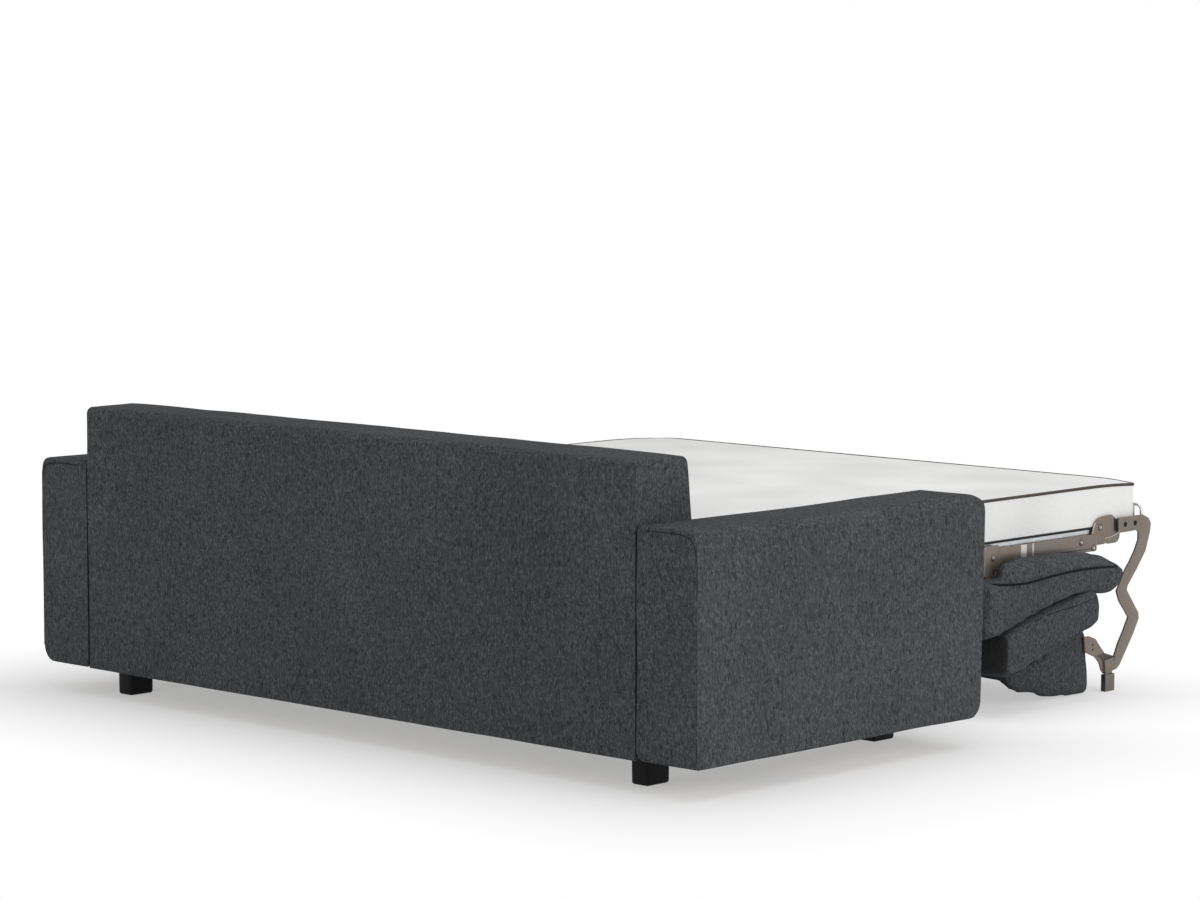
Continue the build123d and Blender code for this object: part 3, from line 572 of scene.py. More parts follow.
def crown_top(piece, height):
    """Raise the middle of the top in a flat arch, as stretched cloth over foam does."""
    xs = [v.co.x for v in piece.data.vertices]
    ys = [v.co.y for v in piece.data.vertices]
    top = max(v.co.z for v in piece.data.vertices)
    middle = ((min(xs) + max(xs)) / 2, (min(ys) + max(ys)) / 2)
    half = ((max(xs) - min(xs)) / 2, (max(ys) - min(ys)) / 2)
    for vertex in piece.data.vertices:
        if vertex.co.z > top - crown_reach:
            across = 1 - ((vertex.co.x - middle[0]) / half[0]) ** 2
            along = 1 - ((vertex.co.y - middle[1]) / half[1]) ** 4
            vertex.co.z += height * max(0.0, across) ** 0.5 * max(0.0, along) ** 0.5


def round_section(piece, low, high, side):
    """Round the four long corners of an arm's section, also around the rim of its rear face."""
    corners = []
    sign = -1 if side == "left" else 1
    for outwards, top, radius in ((1, 1, arm_top_corner), (1, 0, arm_foot_corners[side]),
                                  (-1, 1, arm_inner_corner), (-1, 0, arm_inner_corner)):
        out = sign * outwards
        edge_x = high[0] if out > 0 else low[0]
        corners.append((out, edge_x, 1 if top else -1, high[2] if top else low[2], radius))
    open_mesh(piece)
    for out, edge_x, up, edge_z, radius in corners:
        for share in corner_cut_shares:
            cut_at((edge_x - out * radius * share, 0, 0), (1, 0, 0))
            cut_at((0, 0, edge_z - up * radius * share), (0, 0, 1))
    done(piece)
    for vertex in piece.data.vertices:
        depth = max(0.0, arm_rim_round - (high[1] - vertex.co.y))
        drawn_in = arm_rim_round - math.sqrt(max(0.0, arm_rim_round ** 2 - depth ** 2))
        for out, edge_x, up, edge_z, radius in corners:
            across = (vertex.co.x - edge_x) * out + radius
            above = (vertex.co.z - edge_z) * up + radius
            reach, limit = math.hypot(across, above), radius - drawn_in
            if across > 0 and above > 0 and reach > limit:
                vertex.co.x = edge_x + out * (across * limit / reach - radius)
                vertex.co.z = edge_z + up * (above * limit / reach - radius)


def upholstered_arm(side):
    """One padded arm."""
    low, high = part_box("arm_cover_" + side)
    piece = start_box("arm_upholstery_" + side, Vector(low) + Vector((arm_skin,) * 3),
                      Vector(high) - Vector((arm_skin,) * 3))
    front_y = low[1]
    open_mesh(piece)
    cut_at((0, 0, low[2] + arm_toe_height), (0, 0, 1))
    done(piece)
    for vertex in piece.data.vertices:
        if vertex.co.y < front_y + edge_reach:
            share = (high[2] - vertex.co.z) / (high[2] - low[2])
            vertex.co.y += arm_front_draw + arm_toe_draw * share ** 2
    pick(piece, "edges", lambda c, d, n: abs(d.x) > 0.9 and c.y < front_y + edge_reach
         and c.z > high[2] - edge_reach)
    bevel_picked(arm_front_round, 7)
    pick(piece, "edges", lambda c, d, n: abs(d.x) > 0.9 and c.y < front_y + toe_reach
         and c.z < low[2] + edge_reach)
    bevel_picked(arm_toe_round, 7)
    pick(piece, "edges", lambda c, d, n: abs(d.x) > 0.9 and abs(c.y - high[1]) < rear_edge_reach)
    bevel_picked(arm_rear_round, 5)
    done(piece)
    side_faces = (low[0] + arm_skin, high[0] - arm_skin)

    def edge_share(c, d):
        """How round a long or upright edge of the arm is: the lower and rear ones are tight."""
        if abs(d.x) > 0.1 or min(abs(c.x - s) for s in side_faces) > on_face:
            return 0.0
        inner = abs(c.x) < (abs(low[0]) + abs(high[0])) / 2
        rear = c.y > high[1] - rear_reach and not inner
        return arm_corner_share if rear or c.z < low[2] + rear_reach else 1.0

    bevel_weighted(piece, arm_long_round, 6, edge_share)
    slice_grid(piece, arm_cut_step)
    round_section(piece, low, high, side)
    crown_top(piece, arm_crown)
    middle, half = (low[1] + high[1]) / 2, (high[1] - low[1]) / 2
    for vertex in piece.data.vertices:
        above = max(0.0, 1 - (high[2] - vertex.co.z) / arm_sag_depth)
        vertex.co.z -= arm_sag * above * max(0.0, 1 - ((vertex.co.y - middle) / half) ** 2)
    uneven(piece, padding_waves, padding_swell)
    uneven(piece, fabric_ripples, ripple_depth)
    return smooth(piece, 60)


for side in ("left", "right"):
    arm = upholstered_arm(side)
    place(arm, charcoal, "sofa_shell", "charcoal_fabric", ["arm_cover_" + side])
    print(arm.name, len(arm.data.polygons), "faces")

# %% [markdown]
# ## Back
#
# The back is one padded board: a flat rear face from the underside to the crest, and a thick
# crest that overhangs the head of the bed. It starts as the flat slab. The upper front face is
# then extruded forwards and sloped, so that rear face and crest are one skin as they are on
# the real sofa.

# %% Make the back
back_round = 0.020
back_end_round = 0.008
crest_fullness = 0.005
crest_lean_share = 0.15
back_crown = 0.003
crest_edge_reach = 0.002
crest_edge_front = 0.05
back_cut_step = 0.05


def upholstered_back():
    """The padded back with its crest."""
    low, high = Vector(back_low), Vector(back_high)
    skin = Vector((arm_skin,) * 3)
    piece = start_box("back_upholstery", low + skin, high - skin)
    open_mesh(piece)
    cut_at((0, 0, crest_low[2]), (0, 0, 1))
    pick(piece, "faces", lambda c, n: n.y < -0.9 and c.z > crest_low[2])
    reach = crest_low[1] - crest_fullness - low.y
    bpy.ops.mesh.extrude_region_move(TRANSFORM_OT_translate={"value": (0, reach, 0)})
    top_back = (crest_high[1] - crest_low[1]) * crest_lean_share
    pick(piece, "verts", lambda c: abs(c.y - (low.y + arm_skin + reach)) < on_face
         and c.z > high.z - edge_reach)
    bpy.ops.transform.translate(value=(0, top_back, 0))
    pick(piece, "edges", lambda c, d, n: abs(d.x) > 0.9 and c.z > high.z - edge_reach)
    bevel_picked(back_round, 7)
    pick(piece, "edges", lambda c, d, n: abs(d.x) > 0.9 and abs(c.z - crest_low[2]) < crest_edge_reach
         and c.y < low.y - crest_edge_front)
    bevel_picked(back_end_round, 4)
    pick(piece, "edges", lambda c, d, n: abs(d.x) < 0.1 and abs(abs(c.x) - (high.x - arm_skin)) < on_face)
    bevel_picked(back_end_round, 5)
    done(piece)
    slice_grid(piece, back_cut_step)
    crown_top(piece, back_crown)
    uneven(piece, padding_waves, padding_swell)
    uneven(piece, fabric_ripples, ripple_depth)
    return smooth(piece, 60)


back = upholstered_back()
place(back, charcoal, "sofa_shell", "charcoal_fabric", ["back_cover", "back_crest"])
print(back.name, len(back.data.polygons), "faces")

# %% [markdown]
# ## Seams
#
# A closed seam on heavy cloth is a thin line that stands up slightly, dark with shade. A cord of
# small round section laid along the edge gives it, in a darker copy of the cover as painted shade,
# and follows the corner better than a line in the texture. The seam behind each arm arches over
# below the top. A thicker black cord is painted shade in the narrow gap between arm and back.

# %% Make the seams of the shell
seam_radius = 0.0013
gap_radius = 0.0034
seam_proud = -0.0012
arch_places = ((0.006, 0.045), (0.014, 0.028), (0.030, 0.017), (0.060, 0.013), (0.110, 0.0125),
               (0.165, 0.013))
seam_inset = 0.0020
seam_low_end = 0.030
seam_high_end = 0.06
gap_inset = 0.0027
gap_low_end = 0.012
gap_ends = 0.030
back_seam_inset = 0.005
back_seam_low_end = 0.02
back_seam_ends = 0.05


def cord_along(name, points, radius, closed=False, resolution=3):
    """A thin round cord through points, as a mesh."""
    clear_selection()
    bpy.ops.curve.primitive_nurbs_path_add()
    curve = named(name)
    curve.data.splines.clear()
    spline = curve.data.splines.new("NURBS")
    spline.points.add(len(points) - 1)
    for spot, point in zip(spline.points, points):
        spot.co = (*point, 1.0)
    spline.order_u = 3
    spline.use_endpoint_u = not closed
    spline.use_cyclic_u = closed
    curve.data.bevel_depth = radius
    curve.data.bevel_resolution = resolution
    curve.data.resolution_u = 6
    curve.data.use_fill_caps = not closed
    make_active(curve)
    bpy.ops.object.convert(target="MESH")
    piece = bpy.context.object
    settle(piece)
    return smooth(piece, 60)


for side, sign in (("left", -1), ("right", 1)):
    low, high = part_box("arm_cover_" + side)
    outer = high[0] if sign > 0 else low[0]
    corner_x = outer - sign * seam_inset
    corner_y = high[1] - seam_inset
    seam_start = max(seam_low_end, arm_foot_corners[side])
    steps = [low[2] + seam_start + (high[2] - low[2] - seam_high_end) * k / 12 for k in range(13)]
    steps = [z for z in steps if z < high[2] - seam_high_end]
    arch = [(outer - sign * across, high[1] + seam_proud, high[2] - down) for across, down in arch_places]
    runs = [(corner_x, corner_y, z) for z in steps] + arch
    seam = cord_along("arm_corner_seam_" + side, runs, seam_radius)
    place(seam, seam_shade_charcoal, "sofa_shell", "charcoal_fabric")
    between = sign * back_high[0]
    steps = [low[2] + gap_low_end + (high[2] - low[2] - gap_ends) * k / 12 for k in range(13)]
    # A black cord is painted shade in the gap between arm and back.
    gap = cord_along("back_gap_shade_" + side, [(between, rear_y - gap_inset, z) for z in steps], gap_radius)
    place(gap, black_piping_and_shade, "sofa_shell", "charcoal_fabric")
    edge = back_high[0] * sign - sign * back_seam_inset
    steps = [back_low[2] + back_seam_low_end + (back_high[2] - back_low[2] - back_seam_ends) * k / 12
             for k in range(13)]
    seam = cord_along("back_corner_seam_" + side, [(edge, rear_y - back_seam_inset, z) for z in steps],
                      seam_radius)
    place(seam, seam_shade_charcoal, "sofa_shell", "charcoal_fabric")
print("seams of the shell made")

# %% [markdown]
# ## Block feet
#
# Four black blocks with eased edges, a little narrower at the floor. A cube is tapered by
# scaling its bottom face and beveled all round.

# %% Make the feet
foot_taper = 0.985
foot_side_round = 0.008
foot_floor_round = 0.007
floor_reach = 0.001


def block_foot(end, side):
    """One tapered foot."""
    name = "sofa_foot_" + end + "_" + side
    low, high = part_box(name)
    piece = start_box("block_foot_" + end + "_" + side, low, high)
    centre = (Vector(low) + Vector(high)) / 2
    pick(piece, "faces", lambda c, n: n.z < -0.9)
    bpy.ops.transform.resize(value=(foot_taper, foot_taper, 1.0),
                             center_override=(centre.x, centre.y, low[2]))
    pick(piece, "edges", lambda c, d, n: abs(d.z) > 0.9)
    bevel_picked(foot_side_round, 4)
    pick(piece, "edges", lambda c, d, n: abs(d.z) < 0.2 and c.z < low[2] + floor_reach)
    bevel_picked(foot_floor_round, 4)
    done(piece)
    smooth(piece, 40)
    return place(piece, black_plastic, "sofa_shell", "black_plastic", [name])


for end in ("rear", "front"):
    for side in ("left", "right"):
        block_foot(end, side)
print("feet made")

# %% [markdown]
# ## Mattress
#
# The foam lies in three sections under one white ticking, with a brown cord along its upper edge
# and a dark tape along its lower edge. Each section is a cube with full outer edges and sharp
# fold edges, so that the three read as one mattress when the bed is open. The worn end at the
# foot bulges a little, and its upper corners dip.

# %% Make the mattress sections
mattress_round = 0.010
mattress_corner = 0.014
corner_dip = 0.007
corner_reach = 0.12
end_fullness = 0.004
ticking_cord = 0.0042
ticking_tape = 0.0030
section_bodies = {"head": "head_section", "middle": "middle_section", "foot": "foot_section"}
fold_clear = 0.0007
mattress_cut_step = 0.05
outer_band = 0.04
dip_length = 0.20
bulge_length = 0.03
at_end = 0.001
ticking_swell = 0.0010
cord_steps = 16
cord_steps_across = 24
bend_share = 0.4
upper_cord_place = (0.003, 0.002)
lower_tape_place = (0.0035, 0.001)
foot_low, foot_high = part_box("mattress_foot")
mattress_x = foot_high[0]


def section_range(name):
    """The low and high y of one section, drawn out to meet its neighbours."""
    low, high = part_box("mattress_" + name)
    y_low, y_high = low[1], high[1]
    if name != "foot":
        y_low -= fold_clear
    if name != "head":
        y_high += fold_clear
    return y_low, y_high


def mattress_section(name):
    """One section of the mattress in its ticking."""
    low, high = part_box("mattress_" + name)
    y_low, y_high = section_range(name)
    piece = start_box("mattress_ticking_" + name, (low[0], y_low, low[2]), (high[0], y_high, high[2]))
    free_end = {"head": lambda c, reach: c.y > y_high - reach,
                "middle": lambda c, reach: False,
                "foot": lambda c, reach: c.y < y_low + reach}[name]
    if name != "middle":
        pick(piece, "edges", lambda c, d, n: abs(d.z) > 0.9 and free_end(c, at_end))
        bevel_picked(mattress_corner, 5)
    pick(piece, "edges", lambda c, d, n: abs(d.z) < 0.1 and not folded(c, d, y_low, y_high, name)
         and (free_end(c, outer_band) or abs(c.x) > mattress_x - outer_band))
    bevel_picked(mattress_round, 5)
    done(piece)
    slice_grid(piece, mattress_cut_step)
    if name == "foot":
        for vertex in piece.data.vertices:
            vertex.co.z -= foot_dip(vertex.co, low[2])
            vertex.co.y -= end_fullness * max(0.0, 1 - (vertex.co.y - y_low) / bulge_length)
    uneven(piece, padding_waves, ticking_swell)
    return smooth(piece, 50)


def foot_dip(point, bottom):
    """How far the worn end of the mattress sinks: most at its end, none at its underside."""
    start, end = foot_low[1] + dip_length, foot_low[1]
    share = min(1.0, max(0.0, (start - point.y) / (start - end)))
    side = min(1.0, max(0.0, (abs(point.x) - mattress_x + corner_reach) / corner_reach))
    share *= side * side * (3 - 2 * side)
    return corner_dip * share * share * min(1.0, max(0.0, (point.z - bottom) / (foot_high[2] - bottom)))


def folded(c, d, y_low, y_high, name):
    """True on an edge that lies across the mattress at a fold."""
    if abs(d.x) < 0.9:
        return False
    at_low = c.y < y_low + at_end and name != "foot"
    at_high = c.y > y_high - at_end and name != "head"
    return at_low or at_high


def cord_run(name, z, inset):
    """Points along the outer edge of one section, round its outer corners."""
    y_low, y_high = section_range(name)
    x = mattress_x - inset
    bend = mattress_corner
    if name == "middle":
        return [[(sign * x, y_high + (y_low - y_high) * k / cord_steps, z) for k in range(cord_steps + 1)]
                for sign in (-1, 1)]
    end_y = y_low + inset - end_fullness if name == "foot" else y_high - inset
    start_y = y_high if name == "foot" else y_low
    toward = 1 if name == "foot" else -1
    left = [(-x, start_y + (end_y + toward * bend - start_y) * k / cord_steps, z)
            for k in range(cord_steps + 1)]
    corner = [(-x, end_y + toward * bend * bend_share, z), (-x + bend * bend_share, end_y, z)]
    across = [(-x + bend + (2 * x - 2 * bend) * k / cord_steps_across, end_y, z)
              for k in range(cord_steps_across + 1)]
    half = left + corner + across
    mirrored = [(-px, py, pz) for px, py, pz in (left + corner)][::-1]
    return [half + mirrored]


for name, body in section_bodies.items():
    low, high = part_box("mattress_" + name)
    section = mattress_section(name)
    place(section, ticking, body, "mattress_cover", ["mattress_" + name])
    upper_z, lower_z = high[2] - upper_cord_place[0], low[2] + lower_tape_place[0]
    for level, z, inset, material, radius in (
            ("upper", upper_z, upper_cord_place[1], brown_cord, ticking_cord),
            ("lower", lower_z, lower_tape_place[1], lining, ticking_tape)):
        for k, points in enumerate(cord_run(name, z, inset)):
            if name == "foot":
                points = [(px, py, pz - foot_dip(Vector((px, py, pz)), low[2])) for px, py, pz in points]
            cord = cord_along("mattress_" + level + "_cord_" + name + "_" + str(k), points, radius)
            place(cord, material, body, "mattress_cover")
print("mattress made")

# %% [markdown]
# ## Cushions folded below the bed
#
# The seat cushion hangs upside down below the foot section, with the back cushion and its padded
# panel folded under it. Each starts as a copy of its block of foam. A voxel remesh gives it an
# even skin, and a short cloth simulation with a little air pressure fills it out like a stuffed
# cover. No point may move further than a cap, so that neighbours stay clear. Smooth shifts by
# place then bring the crown, the corners and the hollow of the panel to their real form.

# %% Make the cushions
merge_distance = 0.0001
cushion_voxel = 0.0125
cushion_cap = 0.004
cushion_pressure = 3.0
cushion_fullness = 0.002
cushion_ripple = 0.002
cloth_frames = 16
beyond_side = 1.03
seat_end_places = [-0.955 + 1.91 * k / 24 for k in range(25)]


def copy_of_node(name, new_name):
    """A new object with a merged copy of a node's mesh."""
    source = frame["nodes"][name]
    piece = bpy.data.objects.new(new_name, source.data.copy())
    piece.data.name = new_name
    bpy.context.scene.collection.objects.link(piece)
    open_mesh(piece)
    bpy.ops.mesh.select_all(action="SELECT")
    bpy.ops.mesh.remove_doubles(threshold=merge_distance)
    bpy.ops.mesh.normals_make_consistent(inside=False)
    return done(piece)


def fill_out(piece, cap, pressure, frames):
    """Cloth with air pressure, then capped so that no point moves too far."""
    before = [v.co.copy() for v in piece.data.vertices]
    make_active(piece)
    bpy.ops.object.modifier_add(type="CLOTH")
    cloth = piece.modifiers[-1]
    cloth.settings.quality = 4
    cloth.settings.mass = 0.4
    cloth.settings.tension_stiffness = 12
    cloth.settings.compression_stiffness = 12
    cloth.settings.bending_stiffness = 2.0
    cloth.settings.use_pressure = True
    cloth.settings.uniform_pressure_force = pressure
    cloth.settings.shrink_min = -0.01
    cloth.settings.effector_weights.gravity = 0.0
    for step in range(1, frames + 1):
        bpy.context.scene.frame_set(step)
    bpy.ops.object.modifier_apply(modifier=cloth.name)
    bpy.context.scene.frame_set(1)
    for vertex, start in zip(piece.data.vertices, before):
        moved = vertex.co - start
        if moved.length > cap:
            vertex.co = start + moved * (cap / moved.length)
    return piece


piping_places = [(1.324, 0.359), (1.338, 0.356), (1.355, 0.353), (1.386, 0.350), (1.414, 0.347),
                 (1.460, 0.345), (1.501, 0.345), (1.559, 0.350), (1.657, 0.356), (1.757, 0.358),
                 (1.833, 0.355), (1.905, 0.349)]
piping_lift = 0.0010
piping_radius = 0.0031
piping_drop = 0.002
piping_tries = 12
piping_front = (2.05, 0.344)
piping_rear = (1.25, 0.352)


def first_hit(piece, start, direction):
    """Where a line meets the piece, tried lower and lower until it does."""
    for k in range(piping_tries):
        spot = where_met(piece, start - Vector((0, 0, piping_drop * k)), direction, piping_lift)
        if spot:
            return spot
    return None


def seat_rim_runs(piece):
    """Points of the seat's piping on its left side, front, right side and rear."""
    left = [first_hit(piece, at(f, z, -beyond_side), (1, 0, 0)) for f, z in piping_places]
    right = [first_hit(piece, at(f, z, beyond_side), (-1, 0, 0)) for f, z in reversed(piping_places)]
    front = [first_hit(piece, at(*piping_front, x), (0, 1, 0)) for x in seat_end_places]
    rear = [first_hit(piece, at(*piping_rear, -x), (0, -1, 0)) for x in seat_end_places]
    return [p for p in left + front + right + rear if p]


def eased(value, start, end):
    """A share that grows smoothly from 0 at the start to 1 at the end."""
    share = min(1.0, max(0.0, (value - start) / (end - start)))
    return share * share * (3 - 2 * share)


crown_start = 1.393
crown_slant = 1.043
crown_side = 0.985
crown_foot = 0.357
crown_slant_width = 0.075
crown_before, crown_after = 0.010, 0.008
seat_side_free = 0.925
side_full_height = 0.37
side_fullness = 0.007
side_full_start, side_full_end = (1.45, 1.53), (1.64, 1.80)
corner_run, corner_rise = (1.69, 1.79), (0.20, 0.27)
corner_draw, corner_lift = 0.006, 0.015
heel_run, heel_rise = (1.50, 1.60), (0.12, 0.18)
heel_drop = 0.009
front_run = (1.70, 1.80)
front_draw = 0.007
panel_heel = 1.545
panel_heel_high = 0.114
panel_heel_before, panel_heel_after = 0.030, 0.006
panel_rim = 0.893
panel_rim_wide = 0.032
panel_hollow = 0.070
toe_run, toe_rise = (1.60, 1.76), (0.05, 0.16)
toe_drop = 0.018
panel_front_run = (1.80, 1.86)
panel_front_draw = 0.003
panel_floor_gap = 0.002


def reshape_seat(f, z, x):
    """The crown of the seat starts steeply in front of the rear plate and is full at its sides."""
    start = crown_start + min(crown_slant_width, max(0.0, crown_side - abs(x))) * crown_slant
    if z > crown_foot:
        z = crown_foot + (z - crown_foot) * eased(f, start - crown_before, start + crown_after)
    if abs(x) > seat_side_free and z > side_full_height:
        z += side_fullness * eased(f, *side_full_start) * (1 - eased(f, *side_full_end))
    return f, z


def reshape_back(f, z, x):
    """The back cushion has a square upper front corner and a full lower rear corner."""
    corner = eased(f, *corner_run) * eased(z, *corner_rise)
    heel = (1 - eased(f, *heel_run)) * (1 - eased(z, *heel_rise))
    f += front_draw * eased(f, *front_run) + corner_draw * corner
    return f, z + corner_lift * corner - heel_drop * heel


def reshape_panel(f, z, x):
    """The panel ends in a short heel behind, and is hollow below between its two low sides."""
    lift = panel_heel_high * (1 - eased(f, panel_heel - panel_heel_before, panel_heel + panel_heel_after))
    lift = max(lift, panel_hollow * (1 - eased(abs(x), panel_rim - panel_rim_wide, panel_rim)))
    toe = eased(f, *toe_run) * (1 - eased(z, *toe_rise))
    return f + panel_front_draw * eased(f, *panel_front_run), max(z - toe_drop * toe, lift, panel_floor_gap)


reshapes = {"seat_cushion": reshape_seat, "back_cushion": reshape_back, "back_panel": reshape_panel}


def stuffed(node_name, new_name):
    """One cushion from its foam block."""
    piece = copy_of_node(node_name, new_name)
    apply_modifier(piece, "REMESH", mode="VOXEL", voxel_size=cushion_voxel, use_smooth_shade=True)
    apply_modifier(piece, "SMOOTH", factor=0.5, iterations=1)
    fill_out(piece, cushion_cap, cushion_pressure, cloth_frames)
    uneven(piece, padding_waves, padding_swell)
    uneven(piece, fabric_ripples, cushion_ripple)
    apply_modifier(piece, "SUBSURF", levels=1, render_levels=1)
    apply_modifier(piece, "DISPLACE", strength=cushion_fullness, mid_level=0.0)
    for vertex in piece.data.vertices:
        f, z = reshapes[node_name](rear_y - vertex.co.y, vertex.co.z, vertex.co.x)
        vertex.co.y, vertex.co.z = rear_y - f, z
    apply_modifier(piece, "SMOOTH", factor=0.5, iterations=4)
    return smooth(piece, 60)


def seam_on(piece, name, places, radius):
    """A cord laid on both side faces of a cushion, through places (f, z) seen from the side."""
    cords = []
    for side, sign in (("left", -1), ("right", 1)):
        points = [where_met(piece, at(f, z, sign * beyond_side), (-sign, 0, 0), 0.0) for f, z in places]
        cords.append(cord_along(name + "_" + side, [p for p in points if p], radius))
    return cords


cushion_join = [(1.433, 0.112), (1.451, 0.113), (1.474, 0.116), (1.527, 0.131), (1.572, 0.142),
                (1.629, 0.153), (1.67, 0.161), (1.734, 0.182)]
cushion_join_radius = 0.0015
cushion_seam = [(1.50, 0.226), (1.5416, 0.240), (1.60, 0.251), (1.648, 0.259), (1.71, 0.263),
                (1.7487, 0.270), (1.803, 0.277)]
cushion_seam_radius = 0.0011
never_shaded, rear_shade_facing = 2.0, 0.72
cushion_painted_shade = {"seat_cushion": never_shaded, "back_cushion": rear_shade_facing, "back_panel": rear_shade_facing}
for node_name, new_name, body in (("seat_cushion", "seat_upholstery", "foot_section"),
                                  ("back_cushion", "back_cushion_upholstery", "backrest"),
                                  ("back_panel", "back_panel_upholstery", "backrest")):
    cushion = stuffed(node_name, new_name)
    if node_name == "seat_cushion":
        seat_rims = seat_rim_runs(cushion)
    if node_name == "back_cushion":
        # The join between back cushion and panel gets a black cord as painted shade, and its seam a cord in
        # the seam shade.
        for name, places, material, radius in (
                ("back_cushion_join", cushion_join, black_piping_and_shade, cushion_join_radius),
                (new_name + "_seam", cushion_seam, seam_shade_charcoal, cushion_seam_radius)):
            for seam in seam_on(cushion, name, places, radius):
                place(seam, material, body, "charcoal_fabric")
    place(cushion, charcoal, body, "charcoal_fabric", [node_name])
    # Painted shade: faces of the back cushion and panel that look to the rear take the black lining.
    paint_faces(cushion, lining, lambda c, n: n.y > cushion_painted_shade[node_name])
    print(new_name, len(cushion.data.polygons), "faces")

# %% [markdown]
# ## Boards wrapped in lining
#
# The board behind the folded back cushion and the two low rails inside the arms are wrapped in
# thin black lining. It is stapled tight, so a smoothed copy of each board, in the lining's
# finish, is enough.

# %% Wrap the boards
covered_boards = {"backrest_board": "backrest", "base_rail_left": "sofa_shell",
                  "base_rail_right": "sofa_shell"}
for node_name, body in covered_boards.items():
    board_cover = smooth(copy_of_node(node_name, node_name + "_cover"), 35)
    place(board_cover, lining, body, "charcoal_fabric", [node_name])
print("boards wrapped", sorted(covered_boards))

# %% [markdown]
# ## Piping of the seat cushion
#
# A black piping runs round the seat cushion where its side band meets the thinner cloth of the
# underside. Its path is given as places forward of the rear face and up from the floor. Straight
# lines cast at the cushion from there found where its skin lies, so the piping follows the
# stuffed form and doesn't float. The seams of the back cushion were laid the same way.

# %% Make the piping
seat_piping = cord_along("seat_piping", seat_rims, piping_radius, closed=True)
place(seat_piping, black_piping_and_shade, "foot_section", "charcoal_fabric")
print("seat piping through", len(seat_rims), "points")

# %% [markdown]
# ## Steel along the foot section
#
# The bar, plates and legs are cut from flat steel and have small worn edges that catch the light.
# Each one is a copy of its frame part with a fine bevel. The bar is pressed outward in a short
# step near its rear end, whose two slopes get a painted highlight. A corner plate gets painted
# shade where it is shaded behind the leg, and the corner and rear plates get a painted highlight on
# their rear-facing faces. The pad gets painted shade on its rear faces. Cuts across a plate mark
# off such a place, so that the painted shade can go there.

# %% Make the steel pieces
steel_edge = 0.0009
steel_angle = 35


def edged_copy(node_name, new_name, width, segments=2):
    """A copy of a frame part with clean flat faces and small round edges."""
    piece = copy_of_node(node_name, new_name)
    open_mesh(piece)
    bpy.ops.mesh.select_all(action="SELECT")
    bpy.ops.mesh.dissolve_limited(angle_limit=math.radians(1))
    done(piece)
    apply_modifier(piece, "BEVEL", width=width, segments=segments, limit_method="ANGLE",
                   angle_limit=math.radians(steel_angle), use_clamp_overlap=True)
    return smooth(piece, steel_angle)


def cut_plate(piece, cuts):
    """Cuts through a plate, each given by a point and a direction across it."""
    open_mesh(piece)
    for point, across in cuts:
        cut_at(point, across)
    return done(piece)


step_cuts = (1.573, 1.594, 1.618, 1.628)
step_height = 0.003
step_slack = 0.001


def pressed_bar(piece, outward):
    """Cuts across the bar and a shallow step pressed outward between them."""
    cut_plate(piece, [(at(f, 0), (0, 1, 0)) for f in step_cuts])
    front, rear = at(step_cuts[2] + step_slack, 0).y, at(step_cuts[1] - step_slack, 0).y
    pick(piece, "verts", lambda c: front < c.y < rear)
    bpy.ops.transform.translate(value=(outward, 0, 0))
    return done(piece)


def on_step(c, n):
    """True on the two sloping faces of the bar's step."""
    f = rear_y - c.y
    slope = step_cuts[0] < f < step_cuts[1] or step_cuts[2] < f < step_cuts[3]
    return slope and abs(n.x) > 0.5


painted_shade_start = 1.978
painted_shade_bottom = 0.433
pad_round = 0.005
steel_bodies = {"side_bar": "foot_section", "rear_bar_plate": "foot_section",
                "corner_plate": "foot_section", "leg": "legs", "foot_bracket": "legs"}
for side, sign in (("left", -1), ("right", 1)):
    for kind, body in steel_bodies.items():
        node_name = kind + "_" + side
        plate = edged_copy(node_name, "steel_" + node_name, steel_edge)
        if kind == "side_bar":
            pressed_bar(plate, sign * step_height)
        if kind == "corner_plate":
            cut_plate(plate, ((at(painted_shade_start, 0), (0, 1, 0)), (at(0, painted_shade_bottom), (0, 0, 1))))
        place(plate, bronze_steel, body, "frame_steel", [node_name])
        if kind == "side_bar":
            # Painted highlight on the two slopes of the bar's step.
            paint_faces(plate, painted_highlight_steel, on_step)
        if kind == "corner_plate":
            # Painted shade on the part of the corner plate that lies behind the leg.
            paint_faces(plate, dark_steel, lambda c, n: rear_y - c.y > painted_shade_start and c.z > painted_shade_bottom)
        # Painted highlight on the faces of these plates that look to the rear.
        if kind in ("corner_plate", "rear_bar_plate"):
            paint_faces(plate, painted_highlight_steel, lambda c, n: n.y > 0.7)
    pad = edged_copy("leg_pad_" + side, "floor_pad_" + side, pad_round, 4)
    place(pad, pad_plastic, "legs", "pad_plastic", ["leg_pad_" + side])
    # Painted shade on the pad's rear faces.
    paint_faces(pad, dark_steel, lambda c, n: n.y > 0.6)
print("steel pieces made")

# %% [markdown]
# ## Rivets, plugs and small folds
#
# A rivet head is a flattened ball. A thin dark ring below it is painted shadow, for the shadow line
# around a pressed head, and a small bright disc on top is a painted highlight. The frame gives every
# rivet as one separate island of points, so each head takes its place and size from an island.

# %% Make the rivet heads
ring_margin = 0.0016
highlight_radius = 0.0028
highlight_share = 0.93
disc_thickness = 0.0004


